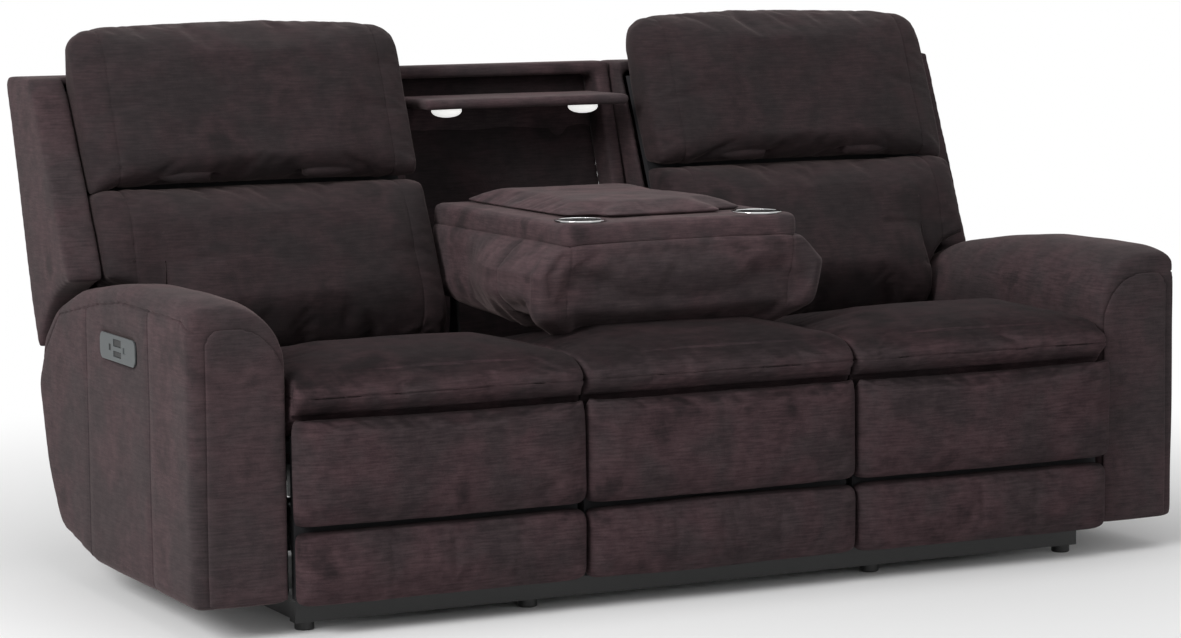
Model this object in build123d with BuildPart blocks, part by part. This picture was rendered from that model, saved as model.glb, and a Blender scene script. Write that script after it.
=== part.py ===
from build123d import *
from math import cos, radians, sin, sqrt, tan
import os

# Three-seat power reclining sofa whose middle backrest folds down as a table.
# Millimetres, +Z up, -Y is the front, origin on the floor under the middle.
# Side outlines give (distance behind the front face, height, corner radius).
# Everything of an end seat is drawn for the right-hand seat (+X) and mirrored.
# Only the wing beside the back differs: the left one comes further forward.

# Overall size
overall_width = 2200
overall_depth = 1170
overall_height = 1130
front_y = -overall_depth / 2

# Modules across the width
module_gap = 4
control_proud = 3
arm_width = 192
arm_outer_x = overall_width / 2 - control_proud
arm_inner_x = arm_outer_x - arm_width
seat_pitch = (arm_inner_x - module_gap / 2) / 1.5
module_edge_x = seat_pitch / 2
middle_half = module_edge_x - module_gap / 2
seat_low_x = module_edge_x + module_gap / 2
seat_high_x = 1.5 * seat_pitch - module_gap / 2
middle_back_inset = 17
middle_back_half = middle_half - middle_back_inset
back_gap = 4
back_low_x = middle_back_half + back_gap

# Running fits and soft clearances
running = 0.05
soft_gap = 0.4
layer_gap = 1
pin_over = 0.4

# Depths counted from the seats' rear edge, which the back's rake sets
back_rake = 478
seat_rear_y = overall_depth - back_rake
end_deck_rear_y = seat_rear_y - 4
plate_rear_y = seat_rear_y + 43
rear_rail_y = seat_rear_y + 138
side_panel_rear_y = seat_rear_y + 178
middle_deck_rear_y = seat_rear_y + 268
cushion_foot_y = seat_rear_y - 40
back_board_foot_y = seat_rear_y + 108
table_rear_y = seat_rear_y + 140

# Base
foot_height = 16
foot_radius = 19
foot_chamfer = 2
rail_height = 42
rail_width = 30
rail_top = foot_height + rail_height
rail_inset_low = 84
rail_inset_high = 47
rail_inner_x = seat_low_x + rail_inset_low
rail_outer_x = seat_high_x - rail_inset_high
front_rail_y = 95
front_rail_inset = 25
front_rail_half = arm_inner_x - front_rail_inset
rear_rail_depth = 40
foot_front_y = 116
foot_rear_y = rear_rail_y + rear_rail_depth / 2
beam_y = 440
beam_depth = 40
beam_bottom = 150
beam_top = 178
side_panel_thickness = 18

# Seat
deck_bottom = 345
deck_thickness = 21
deck_top = deck_bottom + deck_thickness
deck_front_y = 82
seat_crest = 551
crest_radius = 68
crest_sag = 16
crest_to_seam = 99
crest_to_rear = 75
seat_rear_height = seat_crest - crest_to_rear
seam_height = seat_crest - crest_to_seam
board_front_y = 50
board_thickness = 18
board_rear_y = board_front_y + board_thickness
board_inset = 5
board_gap = 2.5
pad_gap = 12
foot_pad_bottom = 58
board_rise = 12
groove_height = 205
groove_gap = 5
seam_gap = 6
crown_front = 14
seat_edge = 34

# Leg rest linkage
lift_pivot = (262, 291)
link_length = 243
reach_start = 172
reach_rise = 9.7
link_half = 14
plate_thickness = 4
plate_front_y = 200
link_thickness = 5
pin_radius = 8
knee_pin_radius = 6
crank_radius = 90
crank_lead = 60
crank_base_angle = 238.5
cross_tube_radius = 10
bracket_reach = 6
bracket_tip_half = 12
bracket_foot_low = 26
bracket_foot_high = 22

# Drives
drive_offset_x = 60
drive_front_y = 345
drive_rear_gap = 117
drive_rear_y = seat_rear_y - drive_rear_gap
drive_length = drive_rear_y - drive_front_y
drive_half = 28
rod_radius = 9
rod_slack = 0.5
rod_bite = 110 / 230 * drive_length
bore_wall = 30 / 230 * drive_length
leg_axis_z = 206.5
back_axis_z = 216.5
yoke_half = 14
yoke_wall = 7
leg_slot_half = 17.5
back_slot_half = 18.5
yoke_play = 3
yoke_web = 8
yoke_reach = 18

# Backs
back_lean = 18
headrest_rise = 112
back_top = overall_height - headrest_rise
top_radius = 18
back_pivot = (seat_rear_y + 8, 320)
lever_length = 110
wing_sweep = 329
cushion_sweep = 332
sweep_over = 5
wing_width = 77
wing_inner_x = arm_outer_x - wing_width
panel_thickness = 30
cheek_width = 16
board_lean = 24
cushion_foot_z = seat_crest - 63
back_board_foot = (back_board_foot_y, cushion_foot_z - 8)
back_board_thickness = 18
back_board_top = back_top - 33
headrest_split = back_top - 227
headrest_gap = 4
headrest_lean = 22
headrest_radius = 22
headrest_depth = 127
headrest_arm_offset = 150
headrest_slot_half = 8
headrest_boss = 9
headrest_plate = 4
headrest_board_gap = 8
headrest_crown = 62
headrest_rear_crown = 32
headrest_droop = 50
split_drawn = 791
groove_y = seat_rear_y + 130 + (headrest_split - split_drawn) * tan(radians(board_lean))
headrest_edge = 66
back_cushion_edge = 60
cap_clearance = 8
wing_gap = 2
shell_low = 180
shell_foot_z = 400
shell_lap = 4
cheek_low = cushion_foot_z + 12
cheek_gap = 2
cap_depth = 124
cap_front_y = overall_depth - cap_depth
cap_drop = 22
back_arm_half = 16
arm_head_rise = 80
board_relief = 60
left_wing_front = [
    (seat_rear_y + 53, headrest_split - 191),
    (seat_rear_y + 280, back_board_top),
    (seat_rear_y + 311, back_top),
]
right_wing_front = [
    (seat_rear_y + 183, headrest_split - 191),
    (seat_rear_y + 342, back_board_top),
    (seat_rear_y + 362, back_top),
]

# Middle back
post_width = 34
post_depth = 80
rail_drop = 28
rail_front_y = overall_depth - 85
recess_panel = 18
flap_thickness = 5
flap_bottom = back_top - 180
flap_top = back_top - 93
flap_side_gap = 4
light_bar_thickness = 22
light_bar_height = back_top - 77
light_bar_front_y = overall_depth - 265
light_bar_side_gap = 5
light_bar_round = 6
light_hinge_y = overall_depth - 66
hinge_pin_radius = 5
hinge_bite = 10
lens_inset = 83
lens_y = overall_depth - 185
lens_radius = 33
lens_proud = 4
post_low_x = middle_back_half - post_width
lens_x = post_low_x - lens_inset

# Drop-down table
table_bottom = seat_crest - 18
table_cushion_depth = 165
tray_thickness = 40
tray_bottom = table_bottom + table_cushion_depth
tray_top = tray_bottom + tray_thickness
table_pivot = (seat_rear_y + 68, table_bottom + 38)
table_front_y = 185
table_front_bulge = 10
table_cushion_edge = 60
tray_over = 18
tray_half = post_low_x + tray_over
tray_corner = 26
tray_edge = 12
cushion_over = 8
table_cushion_half = tray_half + cushion_over
table_pad_rise = 18
pad_side = 61
table_pad_half = tray_half - pad_side
pad_front_y = 306
pad_rear_y = table_rear_y - 12
pad_corner = 24
tongue_side = 70
tongue_half = table_pad_half - tongue_side
tongue_front_y = 262
tongue_corner = 18
table_slot_play = 22
cup_inset = 66
cup_x = tray_half - cup_inset
cup_y = 250
cup_radius = 43
cup_wall = 2
cup_flange = 52
cup_flange_thickness = 3
cup_depth = 63
bracket_x = post_low_x
bracket_half = 18
table_arm_x = bracket_x - 10
table_arm_heel = 50
table_slot_low = table_arm_x - 2
table_slot_high = bracket_x + 8
table_pin_radius = 8
bracket_foot = (table_pivot[0] - 44, table_pivot[0] + 44)
bracket_waist_z = table_pivot[1] - 71

# Arms: sections are (distance behind the arm's front, drop below its crest)
arm_front_y = 50
arm_rear_y = overall_depth - 168
arm_drawn_length = 952
arm_stretch = (arm_rear_y - arm_front_y) / arm_drawn_length
arm_bottom = 62
arm_rise = 92
arm_top = seat_crest + arm_rise
arm_blank = 57
arm_outer_radius = 34
arm_inner_radius = 118
arm_bottom_radius = 4
arm_sections = [
    (0, 15),
    (60, 3),
    (200, 0),
    (370, 3),
    (524, 15),
    (690, 39),
    (820, 81),
    (900, 141),
    (arm_drawn_length, 251),
]
arm_outline = [
    (0, arm_bottom, 10),
    (0, arm_top + arm_blank, 2),
    (951, arm_top + arm_blank, 2),
    (951, arm_top - 251, 60),
    (886, 200, 200),
    (826, 104, 70),
    (590, arm_bottom, 150),
]
arm_panel_thickness = 8
arm_panel_inset = 3
arm_panel_lift = 6
arm_panel_drop = 49
arm_panel_seam = 26
arm_panel_inner_radius = 112
arm_panel_outer_radius = 40
arm_panel_edge = 5

# Controls on the outer side of each arm
control_setback = 405
control_drop = 129
control_y = arm_front_y + control_setback * arm_stretch
control_z = arm_top - control_drop
control_length = 212
control_height = 52
control_box_depth = 22
control_slack = 1.2
control_lip = 12
control_corner = 17
pocket_slack = 1
rocker_length = 44
rocker_height = 12
headrest_rocker_height = 9
rocker_depth = 7
rocker_rise = 11
rocker_sink = 1
rocker_floor = 4
rocker_pin_radius = 1.5
rocker_pin_bite = 1
rocker_bore_bite = 2
button_size = 12
button_slack = 0.3
button_y = 44
socket_length = 18
socket_height = 12
socket_depth = 1.5


def side_plane(x):
    """Plane at x, looking along +X: local x is +Y and local y is +Z."""
    return Plane(origin=(x, 0, 0), x_dir=(0, 1, 0), z_dir=(1, 0, 0))


def front_plane(y):
    """Plane y behind the front face: local x is +X and local y is +Z."""
    return Plane(origin=(0, front_y + y, 0), x_dir=(1, 0, 0), z_dir=(0, -1, 0))


def side_sketch(x, corners):
    """Closed outline of (y from the front, z, radius) corners on the side plane at x."""
    with BuildSketch(side_plane(x)) as profile:
        with BuildLine():
            FilletPolyline(
                *[(front_y + y, z) for y, z, radius in corners],
                radius=[radius for y, z, radius in corners],
                close=True,
            )
        make_face()
    return profile.sketch


def side_bar(corners, x_low, x_high, mode=Mode.ADD):
    """Straight block with a side outline between two x values."""
    extrude(side_sketch(x_low, corners), amount=x_high - x_low, mode=mode)


def block(x_low, x_high, y_low, y_high, z_low, z_high, mode=Mode.ADD):
    """Rectangular block between limits, y measured from the front face."""
    middle = ((x_low + x_high) / 2, front_y + (y_low + y_high) / 2, (z_low + z_high) / 2)
    with Locations(middle):
        Box(x_high - x_low, y_high - y_low, z_high - z_low, mode=mode)


def cross_pin(centre, radius, x_low, x_high, mode=Mode.ADD):
    """Round pin or hole along X at a (y, z) centre."""
    with BuildSketch(side_plane(x_low)) as profile:
        with Locations((front_y + centre[0], centre[1])):
            Circle(radius)
    extrude(profile.sketch, amount=x_high - x_low, mode=mode)


def long_pin(x, z, radius, y_low, y_high, mode=Mode.ADD):
    """Round rod or bore along Y at an (x, z) centre."""
    with BuildSketch(front_plane(y_high)) as profile:
        with Locations((x, z)):
            Circle(radius)
    extrude(profile.sketch, amount=y_high - y_low, mode=mode)


def link_bar(start, end, half_width, x_low, x_high):
    """Flat link with round ends between two (y, z) centres."""
    with BuildSketch(side_plane(x_low)) as profile:
        for centre in (start, end):
            with Locations((front_y + centre[0], centre[1])):
                Circle(half_width)
        make_hull()
    extrude(profile.sketch, amount=x_high - x_low)


def cushion_loft(corners, x_low, x_high, edge, crown=0.3):
    """Stuffed block between two x values. Each corner is (y, z, radius, pull_y, pull_z):
    the pull draws it in, gently over the crown and roundly over the last edge."""
    middle = (x_low + x_high) / 2
    half = (x_high - x_low) / 2
    reaches = [0, 0.5 * (half - edge), half - edge, half - 0.5 * edge, half - 0.13 * edge, half]
    sections = []
    for station in [-reach for reach in reversed(reaches[1:])] + reaches:
        turn = max(0, (abs(station) - (half - edge)) / edge)
        draw = crown * (station / half) ** 2 + (1 - crown) * (1 - sqrt(max(0, 1 - turn**2)))
        drawn = [(y + dy * draw, z + dz * draw, radius) for y, z, radius, dy, dz in corners]
        sections.append(side_sketch(middle + station, drawn))
    loft(sections, ruled=True)


def polar(centre, angle, distance):
    """Point at an angle, counted from +Y towards +Z, and a distance from a centre."""
    return (centre[0] + distance * cos(radians(angle)), centre[1] + distance * sin(radians(angle)))


def write(piece, name):
    """Label a finished piece and write it under its name."""
    piece.part.label = name
    export_step(piece.part, f"parts/{name}.step")


def write_pair(piece, name):
    """Write a right-hand piece and its mirror image on the left."""
    write(piece, "right_" + name)
    left_part = mirror(piece.part, about=Plane.YZ)
    left_part.label = "left_" + name
    export_step(left_part, f"parts/left_{name}.step")


# The rear face leans back and ends in a rounded top edge that reaches overall_depth.
rear_corner_y = overall_depth + top_radius * (tan(radians(back_lean)) + 1 / cos(radians(back_lean)) - 1)


def rear_y(z, inset=0):
    """Distance from the front of the leaning rear face, or of a plane inset from it."""
    return rear_corner_y - (back_top - z) * tan(radians(back_lean)) - inset / cos(radians(back_lean))


def back_board_y(z, behind=0):
    """Front face of the back board of an end seat, or a plane behind it."""
    lean = radians(board_lean)
    return back_board_foot[0] + (z - back_board_foot[1]) * tan(lean) + behind / cos(lean)


def seam_line(y):
    """Height of the seat cushion's oblique lower front."""
    return seam_height - (seam_height - deck_top) * y / deck_front_y


board_top = seam_line(board_rear_y) - board_gap


# Leg rest linkage: two equal links fold like a knee between lift pivot and board.
fold_angle = 180 - reach_rise
reach_pin = polar(lift_pivot, fold_angle, reach_start)
knee_drop = sqrt(link_length**2 - (reach_start / 2) ** 2)
knee = polar(polar(lift_pivot, fold_angle, reach_start / 2), fold_angle + 90, knee_drop)
crank_angle = crank_base_angle + crank_lead
crank_pin = polar(lift_pivot, crank_angle, crank_radius)
lever_pin = polar(back_pivot, -90, lever_length)

# The linkage stands in layers on the inner face of each mechanism plate.
inner_plate_x = rail_inner_x - plate_thickness / 2
outer_plate_x = rail_outer_x + plate_thickness / 2
lift_layer = plate_thickness + layer_gap
reach_layer = lift_layer + link_thickness + layer_gap
bracket_layer = reach_layer + link_thickness + layer_gap


def layer_limits(plate_x, side, depth, thickness):
    """Low and high x of a layer that starts at a depth behind a plate's outer face."""
    near = plate_x + side * depth
    far = plate_x + side * (depth + thickness)
    return min(near, far), max(near, far)


plates = [(inner_plate_x, 1), (outer_plate_x, -1)]

os.makedirs("parts", exist_ok=True)

# ---------------------------------------------------------------- base
with BuildPart() as cross_rails:
    block(-front_rail_half, front_rail_half, front_rail_y, front_rail_y + rail_width, foot_height, rail_top)
    block(-front_rail_half, front_rail_half, rear_rail_y, rear_rail_y + rear_rail_depth, foot_height, rail_top)
write(cross_rails, "cross_rails")

with BuildPart() as base_rails:
    for rail_x in (-rail_outer_x, -rail_inner_x, rail_inner_x, rail_outer_x):
        block(
            rail_x - rail_width / 2,
            rail_x + rail_width / 2,
            front_rail_y + rail_width,
            rear_rail_y,
            foot_height,
            rail_top,
        )
write(base_rails, "base_rails")

with BuildPart() as feet:
    for foot_y in (foot_front_y, foot_rear_y):
        for rail_x in (-rail_outer_x, -rail_inner_x, rail_inner_x, rail_outer_x):
            with Locations((rail_x, front_y + foot_y, foot_height / 2)):
                Cylinder(foot_radius, foot_height)
    chamfer(feet.faces().sort_by(Axis.Z)[0:8].edges(), foot_chamfer)
write(feet, "feet")

with BuildPart() as mechanism_plates:
    for plate_x, side in plates:
        low, high = layer_limits(plate_x, side, 0, plate_thickness)
        block(low, high, plate_front_y, plate_rear_y, rail_top, deck_bottom)
        pin_length = layer_gap + link_thickness + pin_over
        pin_low, pin_high = layer_limits(plate_x, side, plate_thickness, pin_length)
        for pivot in (lift_pivot, back_pivot):
            cross_pin(pivot, pin_radius, pin_low, pin_high)
    mirror(about=Plane.YZ)
write(mechanism_plates, "mechanism_plates")

with BuildPart() as cross_beams:
    for side in (-1, 1):
        ends = sorted((side * (inner_plate_x + plate_thickness), side * (outer_plate_x - plate_thickness)))
        block(ends[0], ends[1], beam_y, beam_y + beam_depth, beam_bottom, beam_top)
write(cross_beams, "cross_beams")

# ---------------------------------------------------------------- seats
with BuildPart() as seat_decks:
    block(-middle_half, middle_half, deck_front_y, end_deck_rear_y, deck_bottom, deck_top)
    block(-middle_back_half, middle_back_half, end_deck_rear_y, middle_deck_rear_y, deck_bottom, deck_top)
    block(seat_low_x, arm_inner_x, deck_front_y, end_deck_rear_y, deck_bottom, deck_top)
    block(-arm_inner_x, -seat_low_x, deck_front_y, end_deck_rear_y, deck_bottom, deck_top)
write(seat_decks, "seat_decks")

seat_corners = [
    (0, seam_height, 8, crown_front, 0),
    (0, seat_crest, crest_radius, crown_front, -crest_sag),
    (seat_rear_y - 52, seat_rear_height, 160, 0, -10),
    (seat_rear_y, seat_rear_height - 6, 14, -4, -10),
    (seat_rear_y, deck_top, 6, 0, 0),
    (deck_front_y, deck_top, 6, 0, 0),
]
with BuildPart() as right_seat_cushion:
    cushion_loft(seat_corners, seat_low_x, seat_high_x, seat_edge)
write_pair(right_seat_cushion, "seat_cushion")

with BuildPart() as middle_seat_cushion:
    cushion_loft(seat_corners, -middle_half, middle_half, seat_edge)
write(middle_seat_cushion, "middle_seat_cushion")

leg_pad_corners = [
    (0, groove_height + groove_gap / 2, 22, crown_front, 6),
    (0, seam_height - seam_gap, 16, crown_front, -3),
    (board_front_y, seam_line(board_front_y) - pad_gap, 3, 0, 0),
    (board_front_y, groove_height + groove_gap / 2, 3, 0, 6),
]
foot_pad_corners = [
    (0, foot_pad_bottom, 24, crown_front, 4),
    (0, groove_height - groove_gap / 2, 20, crown_front, -6),
    (board_front_y, groove_height - groove_gap / 2, 3, 0, -6),
    (board_front_y, foot_pad_bottom, 3, 0, 4),
]
with BuildPart() as right_leg_pad:
    cushion_loft(leg_pad_corners, seat_low_x, seat_high_x, seat_edge)
write_pair(right_leg_pad, "leg_pad")

with BuildPart() as right_foot_pad:
    cushion_loft(foot_pad_corners, seat_low_x, seat_high_x, seat_edge)
write_pair(right_foot_pad, "foot_pad")

with BuildPart() as middle_leg_pad:
    cushion_loft(leg_pad_corners, -middle_half, middle_half, seat_edge)
write(middle_leg_pad, "middle_leg_pad")

with BuildPart() as middle_foot_pad:
    cushion_loft(foot_pad_corners, -middle_half, middle_half, seat_edge)
write(middle_foot_pad, "middle_foot_pad")

with BuildPart() as middle_box:
    board_half = middle_half - board_inset
    block(-board_half, board_half, board_front_y, board_rear_y, foot_pad_bottom + board_rise, board_top)
    for side in (-1, 1):
        ends = sorted((side * middle_back_half, side * (middle_back_half - side_panel_thickness)))
        block(ends[0], ends[1], board_rear_y, side_panel_rear_y, rail_top, deck_bottom)
write(middle_box, "middle_box")

# ---------------------------------------------------------------- leg rest
tube_low = layer_limits(inner_plate_x, 1, lift_layer, link_thickness)[1]
tube_high = layer_limits(outer_plate_x, -1, lift_layer, link_thickness)[0]
with BuildPart() as right_lift_links:
    for plate_x, side in plates:
        low, high = layer_limits(plate_x, side, lift_layer, link_thickness)
        link_bar(lift_pivot, knee, link_half, low, high)
        link_bar(lift_pivot, crank_pin, link_half, low, high)
        cross_pin(lift_pivot, pin_radius + running, low, high, mode=Mode.SUBTRACT)
        pin_low, pin_high = layer_limits(
            plate_x, side, lift_layer + link_thickness, layer_gap + link_thickness + pin_over
        )
        cross_pin(knee, knee_pin_radius, pin_low, pin_high)
    cross_pin(crank_pin, cross_tube_radius, tube_low, tube_high)
write_pair(right_lift_links, "lift_links")

with BuildPart() as right_reach_links:
    for plate_x, side in plates:
        low, high = layer_limits(plate_x, side, reach_layer, link_thickness)
        link_bar(knee, reach_pin, link_half - 1, low, high)
        cross_pin(knee, knee_pin_radius + running, low, high, mode=Mode.SUBTRACT)
        cross_pin(reach_pin, knee_pin_radius + running, low, high, mode=Mode.SUBTRACT)
write_pair(right_reach_links, "reach_links")

with BuildPart() as right_leg_board:
    block(
        seat_low_x + board_inset,
        seat_high_x - board_inset,
        board_front_y,
        board_rear_y,
        foot_pad_bottom + board_rise,
        board_top,
    )
    for plate_x, side in plates:
        low, high = layer_limits(plate_x, side, bracket_layer, link_thickness)
        reach_y, reach_z = reach_pin
        side_bar(
            [
                (board_rear_y, reach_z - bracket_foot_low, 0),
                (board_rear_y, reach_z + bracket_foot_high, 0),
                (reach_y + bracket_reach, reach_z + bracket_tip_half, 0),
                (reach_y + bracket_reach, reach_z - bracket_tip_half, 0),
            ],
            low,
            high,
        )
        cross_pin(reach_pin, link_half - 1, low, high)
        pin_low, pin_high = layer_limits(
            plate_x, side, reach_layer - pin_over, link_thickness + layer_gap + pin_over
        )
        cross_pin(reach_pin, knee_pin_radius, pin_low, pin_high)
write_pair(right_leg_board, "leg_board")

# ---------------------------------------------------------------- drives
leg_drive_x = (rail_inner_x + rail_outer_x) / 2 - drive_offset_x
back_drive_x = (rail_inner_x + rail_outer_x) / 2 + drive_offset_x


def drive_body(x, axis_z, bore_low, bore_high):
    """Gear housing on the cross beam, bored along Y for the rod."""
    block(x - drive_half, x + drive_half, drive_front_y, drive_rear_y, beam_top, axis_z + drive_half)
    long_pin(x, axis_z, rod_radius + rod_slack, bore_low, bore_high, mode=Mode.SUBTRACT)


def drive_rod(x, axis_z, tube_y, slot_half, side, rod_end):
    """Rod with a slotted yoke round a cross tube; side is -1 for a yoke open to the front."""
    web_near = tube_y - side * (cross_tube_radius + yoke_play)
    web_far = web_near - side * yoke_web
    tip = tube_y + side * yoke_reach
    outside = slot_half + yoke_wall
    web = sorted((web_near, web_far))
    block(x - yoke_half, x + yoke_half, web[0], web[1], axis_z - outside, axis_z + outside)
    prong = sorted((web_near, tip))
    for low in (axis_z + slot_half, axis_z - outside):
        block(x - yoke_half, x + yoke_half, prong[0], prong[1], low, low + yoke_wall)
    rod = sorted((web_far, rod_end))
    long_pin(x, axis_z, rod_radius, rod[0], rod[1])


with BuildPart() as drive_housings:
    drive_body(leg_drive_x, leg_axis_z, drive_front_y, drive_rear_y - bore_wall)
    drive_body(back_drive_x, back_axis_z, drive_front_y + bore_wall, drive_rear_y)
    mirror(about=Plane.YZ)
write(drive_housings, "drive_housings")

with BuildPart() as right_leg_rod:
    drive_rod(leg_drive_x, leg_axis_z, crank_pin[0], leg_slot_half, -1, drive_front_y + rod_bite)
write_pair(right_leg_rod, "leg_rod")

with BuildPart() as right_back_rod:
    drive_rod(back_drive_x, back_axis_z, lever_pin[0], back_slot_half, 1, drive_rear_y - rod_bite)
write_pair(right_back_rod, "back_rod")

# ---------------------------------------------------------------- arms
with BuildPart() as right_arm:
    for distance, drop in arm_sections:
        height = arm_top - drop
        with BuildSketch(front_plane(arm_front_y + distance * arm_stretch)):
            with BuildLine():
                FilletPolyline(
                    (arm_inner_x, arm_bottom),
                    (arm_inner_x, height),
                    (arm_outer_x, height),
                    (arm_outer_x, arm_bottom),
                    radius=[arm_bottom_radius, arm_inner_radius, arm_outer_radius, arm_bottom_radius],
                    close=True,
                )
            make_face()
    loft(ruled=True)
    arm_side = [(arm_front_y + distance * arm_stretch, z, radius) for distance, z, radius in arm_outline]
    side_bar(arm_side, arm_inner_x - sweep_over, arm_outer_x + sweep_over, mode=Mode.INTERSECT)
    pocket_half = control_length / 2 - control_lip + pocket_slack
    pocket_rise = control_height / 2 - control_lip / 4 + pocket_slack
    block(
        arm_outer_x - control_box_depth - pocket_slack,
        arm_outer_x + sweep_over,
        control_y - pocket_half,
        control_y + pocket_half,
        control_z - pocket_rise,
        control_z + pocket_rise,
        mode=Mode.SUBTRACT,
    )
write_pair(right_arm, "arm")

arm_panel_top = arm_top - arm_panel_drop
with BuildPart() as right_arm_panel:
    with BuildSketch(front_plane(arm_front_y)):
        with BuildLine():
            FilletPolyline(
                (arm_inner_x + arm_panel_inset, arm_bottom + arm_panel_lift),
                (arm_inner_x + arm_panel_inset, arm_panel_top),
                (arm_outer_x - arm_panel_seam, arm_panel_top),
                (arm_outer_x - arm_panel_seam, arm_bottom + arm_panel_lift),
                radius=[arm_bottom_radius, arm_panel_inner_radius, arm_panel_outer_radius, arm_bottom_radius],
                close=True,
            )
        make_face()
    extrude(amount=arm_panel_thickness)
    fillet(right_arm_panel.faces().sort_by(Axis.Y)[0].edges(), arm_panel_edge)
write_pair(right_arm_panel, "arm_panel")

# ---------------------------------------------------------------- controls
control_face_x = arm_outer_x + control_proud
rocker_outer_x = control_face_x - rocker_sink
rocker_inner_x = rocker_outer_x - rocker_depth
rocker_axis_x = (rocker_outer_x + rocker_inner_x) / 2
pocket_inner_x = rocker_inner_x - rocker_floor
with BuildPart() as control_panels:
    with BuildSketch(side_plane(arm_outer_x)):
        with Locations((front_y + control_y, control_z)):
            RectangleRounded(control_length, control_height, control_corner)
    extrude(amount=control_proud)
    box_half = control_length / 2 - control_lip
    box_rise = control_height / 2 - control_lip / 4
    block(
        arm_outer_x - control_box_depth,
        arm_outer_x,
        control_y - box_half,
        control_y + box_half,
        control_z - box_rise,
        control_z + box_rise,
    )
    for centre_z, height in (
        (control_z + rocker_rise, rocker_height),
        (control_z - rocker_rise, headrest_rocker_height),
    ):
        block(
            pocket_inner_x,
            control_face_x,
            control_y - rocker_length / 2 - control_slack,
            control_y + rocker_length / 2 + control_slack,
            centre_z - height / 2 - control_slack,
            centre_z + height / 2 + control_slack,
            mode=Mode.SUBTRACT,
        )
        with Locations((rocker_axis_x, front_y + control_y, centre_z)):
            bore_length = height + 2 * (control_slack + rocker_bore_bite)
            Cylinder(rocker_pin_radius + running, bore_length, mode=Mode.SUBTRACT)
    block(
        pocket_inner_x,
        control_face_x,
        control_y + button_y - button_size / 2 - button_slack,
        control_y + button_y + button_size / 2 + button_slack,
        control_z - button_size / 2 - button_slack,
        control_z + button_size / 2 + button_slack,
        mode=Mode.SUBTRACT,
    )
    block(
        control_face_x - socket_depth,
        control_face_x,
        control_y - button_y - socket_length / 2,
        control_y - button_y + socket_length / 2,
        control_z - socket_height / 2,
        control_z + socket_height / 2,
        mode=Mode.SUBTRACT,
    )
    mirror(about=Plane.YZ)
write(control_panels, "control_panels")


def rocker(centre_z, height):
    """Rocker key with a short pin above and below that turns in the panel."""
    block(
        rocker_inner_x,
        rocker_outer_x,
        control_y - rocker_length / 2,
        control_y + rocker_length / 2,
        centre_z - height / 2,
        centre_z + height / 2,
    )
    with Locations((rocker_axis_x, front_y + control_y, centre_z)):
        Cylinder(rocker_pin_radius, height + 2 * (control_slack + rocker_pin_bite))


with BuildPart() as right_recline_rocker:
    rocker(control_z + rocker_rise, rocker_height)
write_pair(right_recline_rocker, "recline_rocker")

with BuildPart() as right_headrest_rocker:
    rocker(control_z - rocker_rise, headrest_rocker_height)
write_pair(right_headrest_rocker, "headrest_rocker")

with BuildPart() as right_home_button:
    block(
        rocker_inner_x,
        rocker_outer_x,
        control_y + button_y - button_size / 2,
        control_y + button_y + button_size / 2,
        control_z - button_size / 2,
        control_z + button_size / 2,
    )
write_pair(right_home_button, "home_button")

# The headrest tilts about the centre of its lower front rounding.
headrest_bottom = headrest_split + headrest_gap / 2
lean_angle = radians(headrest_lean)
headrest_hinge = (
    groove_y + headrest_radius * tan(lean_angle) + headrest_radius / cos(lean_angle),
    headrest_bottom + headrest_radius,
)
headrest_top_y = groove_y + (overall_height - headrest_bottom) * tan(lean_angle)
headrest_rear_y = headrest_top_y + headrest_depth
cushion_high_x = wing_inner_x - wing_gap
headrest_centre_x = (back_low_x + cushion_high_x) / 2
headrest_arms_x = (headrest_centre_x - headrest_arm_offset, headrest_centre_x + headrest_arm_offset)
arm_plate_half = headrest_slot_half - layer_gap

# ---------------------------------------------------------------- end backs
with BuildPart() as right_back_frame:
    side_bar(
        [
            (back_board_y(back_board_foot[1]), back_board_foot[1], 0),
            (back_board_y(back_board_top), back_board_top, 0),
            (back_board_y(back_board_top, back_board_thickness), back_board_top, 0),
            (back_board_y(back_board_foot[1], back_board_thickness), back_board_foot[1], 0),
        ],
        back_low_x + cheek_width,
        wing_inner_x,
    )
    cross_pin(back_pivot, cushion_sweep, arm_inner_x - sweep_over, wing_inner_x, mode=Mode.SUBTRACT)
    arm_head_z = back_board_foot[1] + arm_head_rise
    arm_head = (back_board_y(arm_head_z, back_board_thickness), arm_head_z)
    for plate_x, side in plates:
        low, high = layer_limits(plate_x, side, lift_layer, link_thickness)
        link_bar(back_pivot, arm_head, back_arm_half, low, high)
        link_bar(back_pivot, lever_pin, link_half, low, high)
        cross_pin(back_pivot, pin_radius + running, low, high, mode=Mode.SUBTRACT)
    relief_low = cushion_foot_z - shell_lap
    relief_high = arm_head_z + board_relief
    side_bar(
        [
            (back_board_y(relief_low, -board_relief), relief_low, 0),
            (back_board_y(relief_high, -board_relief), relief_high, 0),
            (back_board_y(relief_high), relief_high, 0),
            (back_board_y(relief_low), relief_low, 0),
        ],
        back_low_x,
        arm_inner_x,
        mode=Mode.SUBTRACT,
    )
    cross_pin(lever_pin, cross_tube_radius, tube_low, tube_high)
    boss_low = headrest_hinge[1] - headrest_boss
    boss_high = headrest_hinge[1] + headrest_boss
    for arm_x in headrest_arms_x:
        side_bar(
            [
                (headrest_hinge[0] - headrest_boss, boss_low, headrest_boss - 1),
                (headrest_hinge[0] - headrest_boss, boss_high, headrest_boss - 1),
                (back_board_y(boss_high, 1), boss_high, 0),
                (back_board_y(boss_low, 1), boss_low, 0),
            ],
            arm_x + layer_gap,
            arm_x + arm_plate_half,
        )
        cross_pin(headrest_hinge, hinge_pin_radius + running, arm_x, arm_x + headrest_slot_half, Mode.SUBTRACT)
write_pair(right_back_frame, "back_frame")


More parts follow.
